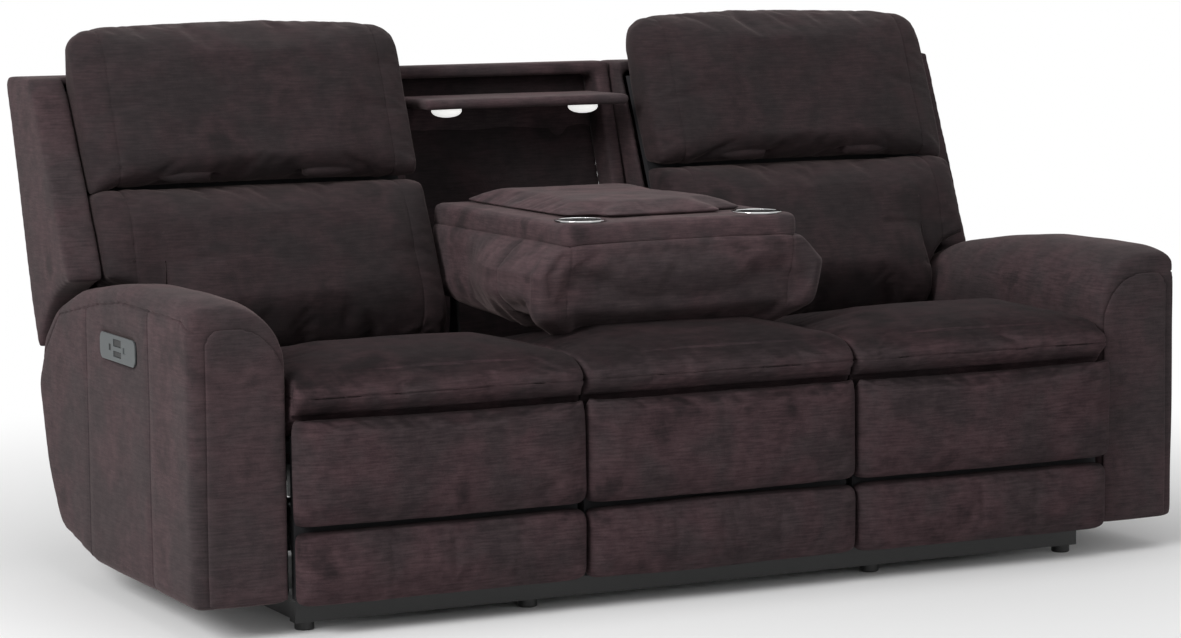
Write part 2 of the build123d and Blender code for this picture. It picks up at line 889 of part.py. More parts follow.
def back_shell(wing):
    """Outer shell of the right-hand back, whose side wing has the given front line."""
    with BuildPart() as shell:
        side_bar(
            [
                (rear_y(shell_low, panel_thickness), shell_low, 4),
                (rear_y(back_top, panel_thickness), back_top, 4),
                (rear_y(back_top), back_top, top_radius),
                (rear_y(shell_low), shell_low, 4),
            ],
            back_low_x,
            arm_outer_x,
        )
        lap = panel_thickness - shell_lap
        cap_bottom = back_top - cap_drop
        side_bar(
            [
                (cap_front_y, cap_bottom, 4),
                (cap_front_y, back_top, 6),
                (rear_y(back_top, lap), back_top, 0),
                (rear_y(cap_bottom, lap), cap_bottom, 0),
            ],
            back_low_x,
            arm_outer_x,
        )
        cheek_front = back_board_thickness + cheek_gap
        cheek_top = cap_bottom - cheek_gap
        side_bar(
            [
                (back_board_y(cheek_low, cheek_front), cheek_low, 0),
                (back_board_y(cheek_top, cheek_front), cheek_top, 0),
                (rear_y(cheek_top, lap), cheek_top, 0),
                (rear_y(cheek_low, lap), cheek_low, 0),
            ],
            back_low_x,
            back_low_x + cheek_width,
        )
        side_bar(
            [
                (*wing[0], 0),
                (*wing[1], 40),
                (*wing[2], 30),
                (rear_y(back_top), back_top, top_radius),
                (rear_y(shell_foot_z), shell_foot_z, 0),
            ],
            wing_inner_x,
            arm_outer_x,
        )
        cross_pin(
            back_pivot, wing_sweep, arm_inner_x - 0.6 * sweep_over, arm_outer_x + sweep_over, mode=Mode.SUBTRACT
        )
    return shell


left_shell = back_shell(left_wing_front)
left_shell_part = mirror(left_shell.part, about=Plane.YZ)
left_shell_part.label = "left_back_shell"
export_step(left_shell_part, "parts/left_back_shell.step")
write(back_shell(right_wing_front), "right_back_shell")

with BuildPart() as right_back_cushion:
    cushion_top = headrest_split - headrest_gap / 2
    cushion_loft(
        [
            (cushion_foot_y, cushion_foot_z, 45, 22, 0),
            (groove_y - 9, cushion_top, 24, 22, 0),
            (back_board_y(cushion_top) - soft_gap, cushion_top, 4, 0, 0),
            (back_board_y(cushion_foot_z) - soft_gap, cushion_foot_z, 4, 0, 0),
        ],
        back_low_x,
        cushion_high_x,
        back_cushion_edge,
    )
    cross_pin(
        back_pivot, cushion_sweep, arm_inner_x - sweep_over, wing_inner_x + sweep_over, mode=Mode.SUBTRACT
    )
write_pair(right_back_cushion, "back_cushion")

with BuildPart() as right_headrest:
    ledge = back_top + cap_clearance
    cushion_loft(
        [
            (groove_y, headrest_bottom, headrest_radius, 14, 2),
            (headrest_top_y, overall_height, headrest_crown, 14, -headrest_droop),
            (headrest_rear_y, overall_height, headrest_rear_crown, 0, -headrest_droop),
            (headrest_rear_y, ledge, 10, 0, 0),
            (back_board_y(ledge) - headrest_board_gap, ledge, 8, 0, 0),
            (back_board_y(headrest_bottom) - headrest_board_gap, headrest_bottom, 8, 0, 0),
        ],
        back_low_x,
        cushion_high_x,
        headrest_edge,
    )
    slot_top = headrest_hinge[1] + 30
    for arm_x in headrest_arms_x:
        block(
            arm_x - headrest_slot_half,
            arm_x + headrest_slot_half,
            headrest_hinge[0] - headrest_boss - 3,
            headrest_rear_y,
            headrest_bottom - 10,
            slot_top,
            mode=Mode.SUBTRACT,
        )
write_pair(right_headrest, "headrest")

with BuildPart() as right_headrest_frame:
    plate_low = headrest_hinge[1] + 14
    plate_high = back_board_top - 5
    arm_high = slot_top - 2
    side_bar(
        [
            (back_board_y(plate_low) - headrest_board_gap, plate_low, 0),
            (back_board_y(plate_high) - headrest_board_gap, plate_high, 0),
            (back_board_y(plate_high) - headrest_board_gap + headrest_plate, plate_high, 0),
            (back_board_y(plate_low) - headrest_board_gap + headrest_plate, plate_low, 0),
        ],
        headrest_arms_x[0] - 60,
        headrest_arms_x[1] + 60,
    )
    for arm_x in headrest_arms_x:
        side_bar(
            [
                (headrest_hinge[0] - headrest_boss, boss_low, headrest_boss - 1),
                (headrest_hinge[0] - headrest_boss, boss_high, headrest_boss - 1),
                (back_board_y(arm_high) - 34, arm_high, 0),
                (back_board_y(arm_high) - headrest_board_gap, arm_high, 0),
                (back_board_y(boss_low) - headrest_board_gap, boss_low, 0),
            ],
            arm_x - arm_plate_half,
            arm_x - layer_gap,
        )
        cross_pin(headrest_hinge, hinge_pin_radius, arm_x - layer_gap, arm_x + arm_plate_half + pin_over)
write_pair(right_headrest_frame, "headrest_frame")

# ---------------------------------------------------------------- middle back
rail_bottom = back_top - rail_drop
light_hinge = (light_hinge_y, light_bar_height)
with BuildPart() as middle_back_frame:
    for side in (-1, 1):
        ends = sorted((side * post_low_x, side * middle_back_half))
        side_bar(
            [
                (rear_y(deck_top, post_depth), deck_top, 0),
                (rear_y(rail_bottom, post_depth), rail_bottom, 0),
                (rear_y(rail_bottom), rail_bottom, 0),
                (rear_y(deck_top), deck_top, 0),
            ],
            ends[0],
            ends[1],
        )
        bore = sorted((side * post_low_x, side * (post_low_x + hinge_bite + layer_gap)))
        cross_pin(light_hinge, hinge_pin_radius + running, bore[0], bore[1], mode=Mode.SUBTRACT)
    side_bar(
        [
            (rail_front_y, rail_bottom, 4),
            (rail_front_y, back_top, 6),
            (rear_y(back_top), back_top, top_radius),
            (rear_y(rail_bottom), rail_bottom, 0),
        ],
        -middle_back_half,
        middle_back_half,
    )
write(middle_back_frame, "middle_back_frame")

with BuildPart() as middle_back_panel:
    side_bar(
        [
            (rear_y(deck_top, recess_panel), deck_top, 0),
            (rear_y(rail_bottom, recess_panel), rail_bottom, 0),
            (rear_y(rail_bottom), rail_bottom, 0),
            (rear_y(deck_top), deck_top, 0),
        ],
        -post_low_x,
        post_low_x,
    )
write(middle_back_panel, "middle_back_panel")

with BuildPart() as light_flap:
    side_bar(
        [
            (rear_y(flap_bottom, recess_panel + flap_thickness), flap_bottom, 0),
            (rear_y(flap_top, recess_panel + flap_thickness), flap_top, 0),
            (rear_y(flap_top, recess_panel), flap_top, 0),
            (rear_y(flap_bottom, recess_panel), flap_bottom, 0),
        ],
        -post_low_x + flap_side_gap,
        post_low_x - flap_side_gap,
    )
write(light_flap, "light_flap")

light_half = post_low_x - light_bar_side_gap
light_low = light_bar_height - light_bar_thickness / 2
light_high = light_bar_height + light_bar_thickness / 2
light_round = light_bar_thickness / 2 - 0.5
with BuildPart() as light_bar:
    side_bar(
        [
            (light_bar_front_y, light_low, light_bar_round),
            (light_bar_front_y, light_high, light_bar_round),
            (light_hinge_y + light_bar_thickness / 2, light_high, light_round),
            (light_hinge_y + light_bar_thickness / 2, light_low, light_round),
        ],
        -light_half,
        light_half,
    )
    cross_pin(light_hinge, hinge_pin_radius, -post_low_x - hinge_bite, post_low_x + hinge_bite)
write(light_bar, "light_bar")

with BuildPart() as light_lenses:
    with Locations(*[(x, front_y + lens_y, light_low - lens_proud / 2) for x in (-lens_x, lens_x)]):
        Cylinder(lens_radius, lens_proud)
    fillet(light_lenses.edges().filter_by(GeomType.CIRCLE).group_by(Axis.Z)[0], 2)
write(light_lenses, "light_lenses")

# ---------------------------------------------------------------- drop-down table
slot_front_y = table_pivot[0] - table_slot_play
with BuildPart() as table_brackets:
    for side in (-1, 1):
        near = side * bracket_x
        far = side * (bracket_x + link_thickness)
        side_bar(
            [
                (bracket_foot[0], deck_top, 0),
                (table_pivot[0] - bracket_half, bracket_waist_z, 0),
                (table_pivot[0] - bracket_half, table_pivot[1] + bracket_half, bracket_half - 1),
                (table_pivot[0] + bracket_half, table_pivot[1] + bracket_half, bracket_half - 1),
                (table_pivot[0] + bracket_half, bracket_waist_z, 0),
                (bracket_foot[1], deck_top, 0),
            ],
            min(near, far),
            max(near, far),
        )
        cross_pin(
            table_pivot, table_pin_radius + running, min(near, far), max(near, far), mode=Mode.SUBTRACT
        )
write(table_brackets, "table_brackets")

cup_centres = [(side * cup_x, front_y + cup_y) for side in (-1, 1)]
cup_outer = cup_radius + cup_wall
with BuildPart() as table_tray:
    block(-tray_half, tray_half, table_front_y, table_rear_y, tray_bottom, tray_top)
    fillet(table_tray.edges().filter_by(Axis.Z).group_by(Axis.Y)[0], tray_corner)
    fillet(table_tray.faces().sort_by(Axis.Z)[-1].edges(), tray_edge)
    with Locations(*[(x, y, tray_bottom) for x, y in cup_centres]):
        Cylinder(cup_outer, 3 * (tray_top - tray_bottom), mode=Mode.SUBTRACT)
write(table_tray, "table_tray")

with BuildPart() as table_cushion:
    cushion_loft(
        [
            (table_front_y - table_front_bulge, table_bottom, 50, 14, 12),
            (table_front_y - table_front_bulge, tray_bottom, 12, 14, 0),
            (table_rear_y, tray_bottom, 3, 0, 0),
            (table_rear_y, table_bottom, 20, 0, 12),
        ],
        -table_cushion_half,
        table_cushion_half,
        table_cushion_edge,
    )
    for side in (-1, 1):
        ends = sorted((side * table_slot_low, side * table_slot_high))
        block(
            ends[0], ends[1], slot_front_y, table_rear_y + 5, table_bottom - 5, tray_bottom + 5, Mode.SUBTRACT
        )
    well_floor = tray_top - cup_depth - cup_wall
    with Locations(*[(x, y, tray_bottom) for x, y in cup_centres]):
        Cylinder(cup_outer + soft_gap, 2 * (tray_bottom - well_floor + soft_gap), mode=Mode.SUBTRACT)
write(table_cushion, "table_cushion")

with BuildPart() as cup_holders:
    for x, y in cup_centres:
        with Locations((x, y, (well_floor + tray_top) / 2)):
            Cylinder(cup_outer, tray_top - well_floor)
        with Locations((x, y, tray_top + cup_flange_thickness / 2)):
            Cylinder(cup_flange, cup_flange_thickness)
        with Locations((x, y, well_floor + cup_wall + cup_depth)):
            Cylinder(cup_radius, 2 * cup_depth, mode=Mode.SUBTRACT)
    fillet(cup_holders.faces().sort_by(Axis.Z)[-2:].edges(), 1)
write(cup_holders, "cup_holders")

pad_levels = [(0, 3), (6, 0), (12, 9), (17, 32), (table_pad_rise + 1, 70)]
with BuildPart() as table_pad:
    for rise, inset in pad_levels:
        side_x = table_pad_half - inset
        tongue_x = tongue_half - inset
        shoulder = front_y + pad_front_y + inset
        rear = front_y + pad_rear_y - inset
        tip = front_y + tongue_front_y + inset
        with BuildSketch(Plane.XY.offset(tray_top + rise)):
            with BuildLine():
                FilletPolyline(
                    (-side_x, shoulder),
                    (-side_x, rear),
                    (side_x, rear),
                    (side_x, shoulder),
                    (tongue_x, shoulder),
                    (tongue_x, tip),
                    (-tongue_x, tip),
                    (-tongue_x, shoulder),
                    radius=[pad_corner] * 4 + [12, tongue_corner, tongue_corner, 12],
                    close=True,
                )
            make_face()
    loft(ruled=True)
write(table_pad, "table_pad")

with BuildPart() as table_arms:
    for side in (-1, 1):
        ends = sorted((side * table_arm_x, side * (table_arm_x + link_thickness)))
        side_bar(
            [
                (table_pivot[0] - bracket_half, table_pivot[1] - bracket_half, bracket_half - 1),
                (table_pivot[0] - bracket_half, tray_bottom, 0),
                (table_pivot[0] + table_arm_heel, tray_bottom, 0),
                (table_pivot[0] + bracket_half, table_pivot[1] - bracket_half, bracket_half - 1),
            ],
            ends[0],
            ends[1],
        )
        pin = sorted((side * (table_arm_x + link_thickness), side * (bracket_x + link_thickness + pin_over)))
        cross_pin(table_pivot, table_pin_radius, pin[0], pin[1])
write(table_arms, "table_arms")
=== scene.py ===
import math

import bmesh
import bpy
from bpy.props import FloatProperty, FloatVectorProperty, IntProperty, PointerProperty
from mathutils import Matrix, Vector, noise


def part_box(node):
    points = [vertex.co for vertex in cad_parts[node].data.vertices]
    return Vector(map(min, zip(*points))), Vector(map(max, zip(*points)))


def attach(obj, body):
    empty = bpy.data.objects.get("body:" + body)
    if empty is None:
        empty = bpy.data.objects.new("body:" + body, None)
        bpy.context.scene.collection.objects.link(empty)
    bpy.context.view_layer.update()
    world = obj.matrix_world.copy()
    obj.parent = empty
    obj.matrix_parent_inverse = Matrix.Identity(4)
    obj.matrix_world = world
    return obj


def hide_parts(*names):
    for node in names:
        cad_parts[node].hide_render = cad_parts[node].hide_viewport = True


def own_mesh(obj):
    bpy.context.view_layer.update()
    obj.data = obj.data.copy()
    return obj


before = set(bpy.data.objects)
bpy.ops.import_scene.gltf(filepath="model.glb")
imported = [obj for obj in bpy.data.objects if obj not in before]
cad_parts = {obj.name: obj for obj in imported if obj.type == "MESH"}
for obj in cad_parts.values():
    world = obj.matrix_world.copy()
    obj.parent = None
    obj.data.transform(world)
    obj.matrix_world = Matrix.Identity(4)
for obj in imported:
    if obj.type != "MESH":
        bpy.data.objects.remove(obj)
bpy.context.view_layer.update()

bl_info = {
    "name": "Reclining sofa with drop down table",
    "version": (1, 0, 0),
    "blender": (4, 5, 0),
    "location": "View3D > Sidebar > Sofa",
    "description": "Dresses the sofa's frame in padded microfibre, with its table, lamps and controls",
    "category": "Add Mesh",
}

MM = 0.001
FRONT_FACE = -0.585  # y of the seats' front face; depths below are measured back from it
WELD = 0.00002  # points closer together than this are one
THIN_GRID = 0.8  # the thin pads' cloth grid, as a share of the cushions'
ARM_SIDE = 0.905  # x of the right arm's inner side
FINISHES = {}  # materials by name


def at(x, depth, height):
    """A point from millimetres: x, depth behind the front face, height."""
    return Vector((x * MM, FRONT_FACE + depth * MM, height * MM))


def linear(code):
    """The linear colour of an sRGB hex value."""
    values = [int(code[i:i + 2], 16) / 255 for i in (1, 3, 5)]
    return tuple(v / 12.92 if v <= 0.04045 else ((v + 0.055) / 1.055) ** 2.4 for v in values)


# ---------------------------------------------------------------- sizes and colours


class SofaPadding(bpy.types.PropertyGroup):
    """How full and how finely made the padded pieces are"""

    grid: FloatProperty(
        name="Cloth grid", description="Spacing of the threads that are simulated",
        default=0.0095, min=0.004, unit="LENGTH")
    pressure: FloatProperty(
        name="Filling pressure", description="How hard the wadding pushes the cover out",
        default=4.0, min=0.0)
    steps: IntProperty(
        name="Settling steps", description="Simulation steps before the cover is kept",
        default=20, min=1)
    cushion_swell: FloatProperty(
        name="Cushion swell", description="Most that a seat or back cover may move",
        default=0.026, unit="LENGTH")
    pad_swell: FloatProperty(
        name="Pad swell", description="Most that a thin pad's cover may move",
        default=0.012, unit="LENGTH")
    slack: FloatProperty(
        name="Slack", description="Spare width of a cover, as a share", default=0.012, min=0.0)
    seam_width: FloatProperty(
        name="Seam width", description="Width of the furrow at a sewn seam",
        default=0.0075, unit="LENGTH")
    seam_depth: FloatProperty(
        name="Seam depth", description="Depth of the furrow at a sewn seam",
        default=0.0032, unit="LENGTH")


class SofaColours(bpy.types.PropertyGroup):
    """The colours of the cloth and of the studio floor"""

    nap_brown: FloatVectorProperty(
        name="Brown nap", description="Microfibre brushed one way", subtype="COLOR", size=3,
        min=0.0, max=1.0, default=linear("#433437"))
    nap_grey: FloatVectorProperty(
        name="Grey nap", description="Microfibre brushed the other way", subtype="COLOR", size=3,
        min=0.0, max=1.0, default=linear("#372f31"))
    nap_dark: FloatVectorProperty(
        name="Dark nap", description="Flattened microfibre", subtype="COLOR", size=3,
        min=0.0, max=1.0, default=linear("#2b2325"))
    floor: FloatVectorProperty(
        name="Floor", description="Studio floor", subtype="COLOR", size=3,
        min=0.0, max=1.0, default=linear("#f4f4f4"))


# ---------------------------------------------------------------- materials


def add_node(tree, kind, settings=None, inputs=None):
    """Adds a node; an input's value is a constant, or the socket that feeds it."""
    node = tree.nodes.new(kind)
    for key, value in (settings or {}).items():
        setattr(node, key, value)
    for key, value in (inputs or {}).items():
        if isinstance(value, bpy.types.NodeSocket):
            tree.links.new(value, node.inputs[key])
        else:
            node.inputs[key].default_value = value
    return node


def new_material(name, **surface):
    """A material with one Principled shader, whose constants are given by socket name. Returns
    its node tree, the shader, and the socket of the place on the object."""
    material = bpy.data.materials.new(name)
    material.use_nodes = True
    tree = material.node_tree
    shader = tree.nodes["Principled BSDF"]
    for key, value in surface.items():
        socket = shader.inputs[key.replace("_", " ")]
        socket.default_value = (*value, 1.0) if socket.type == "RGBA" else value
    place = add_node(tree, "ShaderNodeTexCoord").outputs["Object"]
    FINISHES[name] = material
    return tree, shader, place


def add_blend(tree, factor, first, second, mode="MIX"):
    """Mixes two colours."""
    return add_node(
        tree, "ShaderNodeMix", {"data_type": "RGBA", "blend_type": mode},
        {0: factor, 6: first, 7: second}).outputs[2]


def add_steps(tree, value, low, high):
    """Stretches a pattern's values between two levels to the whole range."""
    return add_node(
        tree, "ShaderNodeMapRange", {"interpolation_type": "SMOOTHSTEP"},
        {"Value": value, "From Min": low, "From Max": high}).outputs["Result"]


def microfibre(name, brown, grey, dark, painted_lighting=1.0, top_shade=1.0):
    """Polyester microfibre suede: a short brushed nap over a fine weave, matt, with cloudy
    patches where the nap lies another way, and a soft lighter sheen at grazing angles.
    The last two settings are painted light and shade: the first scales a piece's whole colour
    for how brightly it is lit, the second is the share of that kept on up-facing surfaces,
    painted shade on the tops."""
    # painted light and shade: the whole colour is scaled for how brightly this piece is lit
    brown, grey, dark = (tuple(c * painted_lighting for c in tone) for tone in (brown, grey, dark))
    sheen, gloss = (0.22, 0.25) if top_shade == 1 else (0.03, 0.1)  # sitting flattens the nap
    tree, shader, place = new_material(
        name, Roughness=0.9, Sheen_Weight=sheen, Sheen_Roughness=0.4,
        Sheen_Tint=linear("#a08c8a"), Specular_IOR_Level=gloss)
    patch = add_node(tree, "ShaderNodeTexNoise", None, {  # clouds the size of two hands
        "Vector": place, "Scale": 1 / (150 * MM), "Detail": 6.0, "Roughness": 0.55, "Distortion": 0.2})
    mottle = add_node(tree, "ShaderNodeTexNoise", None, {  # finger marks, about 30 mm
        "Vector": place, "Scale": 1 / (30 * MM), "Detail": 5.0, "Roughness": 0.6})
    stretched = add_node(tree, "ShaderNodeMapping", None, {
        "Vector": place, "Scale": (1 / (40 * MM), 1 / (40 * MM), 1 / (3.6 * MM))})
    streak = add_node(tree, "ShaderNodeTexNoise", None, {  # level brush marks 4 mm high, 40 mm long
        "Vector": stretched.outputs["Vector"], "Scale": 1.0, "Detail": 3.0, "Roughness": 0.6})
    nap = add_node(tree, "ShaderNodeTexNoise", None, {  # tufts, drawn 2 mm wide so that they show
        "Vector": place, "Scale": 1 / (2.0 * MM), "Detail": 2.0, "Roughness": 0.7})
    clouds = add_steps(tree, patch.outputs["Fac"], 0.38, 0.62)
    marks = add_steps(tree, mottle.outputs["Fac"], 0.28, 0.72)
    lines = add_steps(tree, streak.outputs["Fac"], 0.30, 0.70)
    colour = add_blend(tree, clouds, (*brown, 1.0), (*grey, 1.0))
    shade = add_blend(tree, marks, (0.80, 0.79, 0.80, 1.0), (1.14, 1.13, 1.12, 1.0))
    colour = add_blend(tree, 1.0, colour, shade, "MULTIPLY")
    colour = add_blend(tree, add_steps(tree, patch.outputs["Fac"], 0.30, 0.44), (*dark, 1.0), colour)
    worn = add_blend(tree, lines, (0.78, 0.78, 0.78, 1.0), (1.16, 1.14, 1.13, 1.0))
    colour = add_blend(tree, 1.0, colour, worn, "MULTIPLY")
    # painted shade: surfaces that face up are darkened to this share of their colour
    if top_shade < 1:
        facing = add_node(tree, "ShaderNodeSeparateXYZ", None, {
            "Vector": add_node(tree, "ShaderNodeNewGeometry").outputs["Normal"]}).outputs["Z"]
        painted_top_shade = add_blend(
            tree, add_steps(tree, facing, 0.45, 0.95),
            (1.0, 1.0, 1.0, 1.0), (top_shade, top_shade, top_shade, 1.0))
        colour = add_blend(tree, 1.0, colour, painted_top_shade, "MULTIPLY")
    tufts = add_blend(tree, nap.outputs["Fac"], (0.70, 0.70, 0.70, 1.0), (1.30, 1.30, 1.30, 1.0))
    colour = add_blend(tree, 1.0, colour, tufts, "MULTIPLY")
    tree.links.new(colour, shader.inputs["Base Color"])
    height = add_node(tree, "ShaderNodeMath", {"operation": "ADD"}, {
        0: nap.outputs["Fac"], 1: streak.outputs["Fac"]}).outputs["Value"]
    bump = add_node(tree, "ShaderNodeBump", None, {
        "Height": height, "Strength": 0.5, "Distance": 0.8 * MM})
    tree.links.new(bump.outputs["Normal"], shader.inputs["Normal"])


def grained(name, base, roughness, grain_mm, depth_mm, change=0.12, **surface):
    """A finish whose colour, gloss and height vary with one fine grain, the colour by change."""
    tree, shader, place = new_material(name, Base_Color=base, **surface)
    uneven = 0.08  # of the roughness, either way
    grain = add_node(tree, "ShaderNodeTexNoise", None, {
        "Vector": place, "Scale": 1 / (grain_mm * MM), "Detail": 3.0})
    shade = add_blend(
        tree, grain.outputs["Fac"], (*(c * (1 - change) for c in base), 1.0),
        (*(c * (1 + change) for c in base), 1.0))
    tree.links.new(shade, shader.inputs["Base Color"])
    gloss = add_node(tree, "ShaderNodeMapRange", None, {
        "Value": grain.outputs["Fac"], "To Min": roughness - uneven, "To Max": roughness + uneven})
    tree.links.new(gloss.outputs["Result"], shader.inputs["Roughness"])
    bump = add_node(tree, "ShaderNodeBump", None, {
        "Height": grain.outputs["Fac"], "Strength": 0.4, "Distance": depth_mm * MM})
    tree.links.new(bump.outputs["Normal"], shader.inputs["Normal"])


def make_finishes(colours):
    """Every material of the sofa, by the name of its slot."""
    brown, grey, dark = (tuple(c) for c in (colours.nap_brown, colours.nap_grey, colours.nap_dark))
    # one cloth in lit and shaded copies: each group of covers has its whole colour scaled as painted
    # light or painted shade, and the seats have painted shade on their tops
    microfibre("arm_fabric", brown, grey, dark, painted_lighting=0.87)
    microfibre("cushion_fabric", brown, grey, dark)
    # painted shade on the seats' tops
    microfibre("seat_fabric", brown, grey, dark, top_shade=0.42)
    microfibre("back_fabric", brown, grey, dark, painted_lighting=0.50)
    microfibre("table_fabric", brown, grey, dark, painted_lighting=1.22)
    microfibre("recess_fabric", brown, grey, dark, painted_lighting=0.56)
    # black powder coat on rolled steel: fine orange peel, low gloss
    grained("black_steel", linear("#191919"), 0.42, 1.6, 0.10)
    # zinc-plated pressed steel: cool grey, soft gloss, faint spangle
    grained("grey_steel", linear("#9a9da0"), 0.38, 7.0, 0.05, Metallic=0.9)
    # injection moulded polypropylene: black, fine spark-eroded grain
    grained("black_plastic", linear("#151515"), 0.45, 0.9, 0.10)
    # moulded ABS with a satin grey coat
    grained("grey_plastic", linear("#565a5b"), 0.36, 1.2, 0.05, Metallic=0.35)
    # polished chrome plate: bright, with the faint waviness of plated plastic
    grained("chrome", linear("#e6e6e6"), 0.12, 6.0, 0.02, 0.03, Metallic=1.0)
    # opal acrylic lamp cover, lit
    grained("lens", linear("#f4f4f0"), 0.30, 4.0, 0.02, 0.02, Emission_Color=(1.0, 1.0, 0.98),
            Emission_Strength=0.75)
    # spun-bonded polypropylene dust cover, stapled over the boards: black, matt, faintly pebbled
    grained("board_lining", linear("#18171a"), 0.9, 1.5, 0.15)


# ---------------------------------------------------------------- cloth and seams


def keep_object(name, mesh):
    """Puts a finished mesh in the scene."""
    piece = bpy.data.objects.new(name, mesh)
    bpy.context.scene.collection.objects.link(piece)
    return piece


def new_piece(name, bm, finish, body):
    """Makes a piece of a bmesh, in one material, on one body."""
    mesh = bpy.data.meshes.new(name)
    bm.to_mesh(mesh)
    bm.free()
    for face in mesh.polygons:
        face.use_smooth = True
    piece = keep_object(name, mesh)
    mesh.materials.append(FINISHES[finish])
    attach(piece, body)
    return piece


def copy_of_node(node):
    """A bmesh of one CAD node, with its loose triangles joined."""
    bm = bmesh.new()
    bm.from_mesh(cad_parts[node].data)
    bmesh.ops.remove_doubles(bm, verts=bm.verts, dist=WELD)
    return bm


def bake(piece):
    """Replaces a piece's mesh by what its modifiers make of it."""
    graph = bpy.context.evaluated_depsgraph_get()
    mesh = bpy.data.meshes.new_from_object(piece.evaluated_get(graph))
    piece.modifiers.clear()
    piece.data = mesh


def close_slots(bm, places, half):
    """Closes the narrow slots that a CAD piece has across x for its hinges."""
    for x in places:
        for side in (x - half, x + half):
            bmesh.ops.bisect_plane(
                bm, geom=[*bm.verts, *bm.edges, *bm.faces], dist=1e-7,
                plane_co=(side, 0, 0), plane_no=(1, 0, 0))
        inside = [f for f in bm.faces if abs(f.calc_center_median().x - x) < half]
        bmesh.ops.delete(bm, geom=inside, context="FACES")
        bmesh.ops.bridge_loops(bm, edges=[e for e in bm.edges if e.is_boundary])


def even_skin(node, grid, inset=(0, 0, 0), slots=(), slot_half=0.0):
    """A closed skin of small even faces in a CAD node's shape, drawn in by inset on each side,
    which the filling takes up again. slots are the hinges' slots to close in it."""
    bm = copy_of_node(node)
    close_slots(bm, slots, slot_half)
    low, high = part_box(node)
    middle = (low + high) / 2
    size = high - low
    shrink = [1 - 2 * inset[i] / size[i] for i in range(3)]
    bmesh.ops.scale(bm, vec=shrink, space=Matrix.Translation(-middle), verts=bm.verts)
    mesh = bpy.data.meshes.new("skin")
    bm.to_mesh(mesh)
    bm.free()
    piece = keep_object("skin", mesh)
    remesh = piece.modifiers.new("Grid", "REMESH")
    remesh.mode = "VOXEL"
    remesh.voxel_size = grid
    bake(piece)
    relax(piece.data, rounds=4)
    return piece


def relax(mesh, rounds):
    """Evens out a skin's faces."""
    bm = bmesh.new()
    bm.from_mesh(mesh)
    for _ in range(rounds):
        bmesh.ops.smooth_vert(
            bm, verts=bm.verts, factor=0.5, use_axis_x=True, use_axis_y=True, use_axis_z=True)
    bm.to_mesh(mesh)
    bm.free()


def fill_covers(covers):
    """Blows covers up like wadding does, all at once. Each skin comes with the most that it may
    swell, and a test that says which of its threads are tacked to the frame and stay."""
    padding = bpy.context.scene.sofa_padding
    starts = {piece: [v.co.copy() for v in piece.data.vertices] for piece in covers}
    for piece, (_, tacked) in covers.items():
        held = piece.vertex_groups.new(name="tacked")
        held.add([v.index for v in piece.data.vertices if tacked(v.co)], 1.0, "REPLACE")
        cloth = piece.modifiers.new("Cover", "CLOTH").settings
        cloth.vertex_group_mass = held.name
        cloth.shrink_min = -padding.slack
        cloth.use_pressure = True
        cloth.uniform_pressure_force = padding.pressure
        cloth.effector_weights.gravity = 0.0
    for step in range(1, padding.steps + 1):
        bpy.context.scene.frame_set(step)
    for piece, (swell, _) in covers.items():
        bake(piece)
        for vertex, start in zip(piece.data.vertices, starts[piece]):
            move = vertex.co - start
            if move.length > swell:
                vertex.co = start + move * (swell / move.length)
    bpy.context.scene.frame_set(1)


def tacks(low, high, x, rear, bottom=0, top=0):
    """A test for the threads within these millimetres of a box's sides."""
    def tacked(p):
        return (
            p.x < low.x + x * MM or p.x > high.x - x * MM or p.y > high.y - rear * MM
            or p.z < low.z + bottom * MM or p.z > high.z - top * MM)
    return tacked


def finer(skin):
    """A bmesh of a skin after one smooth subdivision. The skin itself goes."""
    divide = skin.modifiers.new("Finer", "SUBSURF")
    divide.levels = 1
    divide.render_levels = 1
    bake(skin)
    bm = bmesh.new()
    bm.from_mesh(skin.data)
    bpy.data.objects.remove(skin)
    return bm


def in_front_of(depth):
    """A test for points in front of a depth."""
    limit = at(0, depth, 0).y
    return lambda p: p.y < limit


def sew(bm, point, normal, where=None, sink=0.0, deep=1.0):
    """Cuts a seam into a cover where a plane crosses it, draws the wadding in beside it by sink,
    and makes its furrow deep times as deep as other seams."""
    padding = bpy.context.scene.sofa_padding
    normal = Vector(normal).normalized()
    half = padding.seam_width / 2
    reach = 0.03  # how far from the seam the wadding is drawn in
    for offset in (-half, 0.0, half):
        faces = [f for f in bm.faces if where is None or where(f.calc_center_median())]
        near = [f for f in faces if abs((f.calc_center_median() - point).dot(normal)) < reach]
        bmesh.ops.bisect_plane(
            bm, geom=list({e for f in near for e in (f, *f.edges, *f.verts)}), dist=1e-6,
            plane_co=point + normal * offset, plane_no=normal)
    bm.normal_update()
    moves = []
    for vertex in bm.verts:
        away = abs((vertex.co - point).dot(normal))
        if away > reach or (where is not None and not where(vertex.co)):
            continue
        fall = sink * (1 - away / reach) ** 2
        if away < half * 0.3:  # the row of vertices in the furrow's middle
            fall += padding.seam_depth * deep
        moves.append((vertex, vertex.normal * fall))
    for vertex, move in moves:
        vertex.co -= move


def sew_path(bm, points, where, sink):
    """Cuts a seam along a bent line of (depth, height) points on a face that looks sideways."""
    give = 0.5 * MM  # by which one run laps the next
    for (d0, h0), (d1, h1) in zip(points, points[1:]):
        start, end = at(0, d0, h0), at(0, d1, h1)
        along = (end - start).normalized()
        length = (end - start).length
        normal = along.cross(Vector((1, 0, 0)))

        def on_run(p):
            run = (p - start).dot(along)
            return where(p) and -give < run < length + give

        sew(bm, start, normal, on_run, sink)


def wrinkle(bm, height, length, seed):
    """Gives a cover the slow waves of cloth over wadding, another set for each seed."""
    offset = Vector((seed * 7.31, seed * 3.17, seed * 5.03))
    bm.normal_update()
    for vertex in bm.verts:
        p = vertex.co / length
        wave = noise.noise(p + offset) + 0.4 * noise.noise(p * 2.3 + offset)
        vertex.co += vertex.normal * (wave * height)


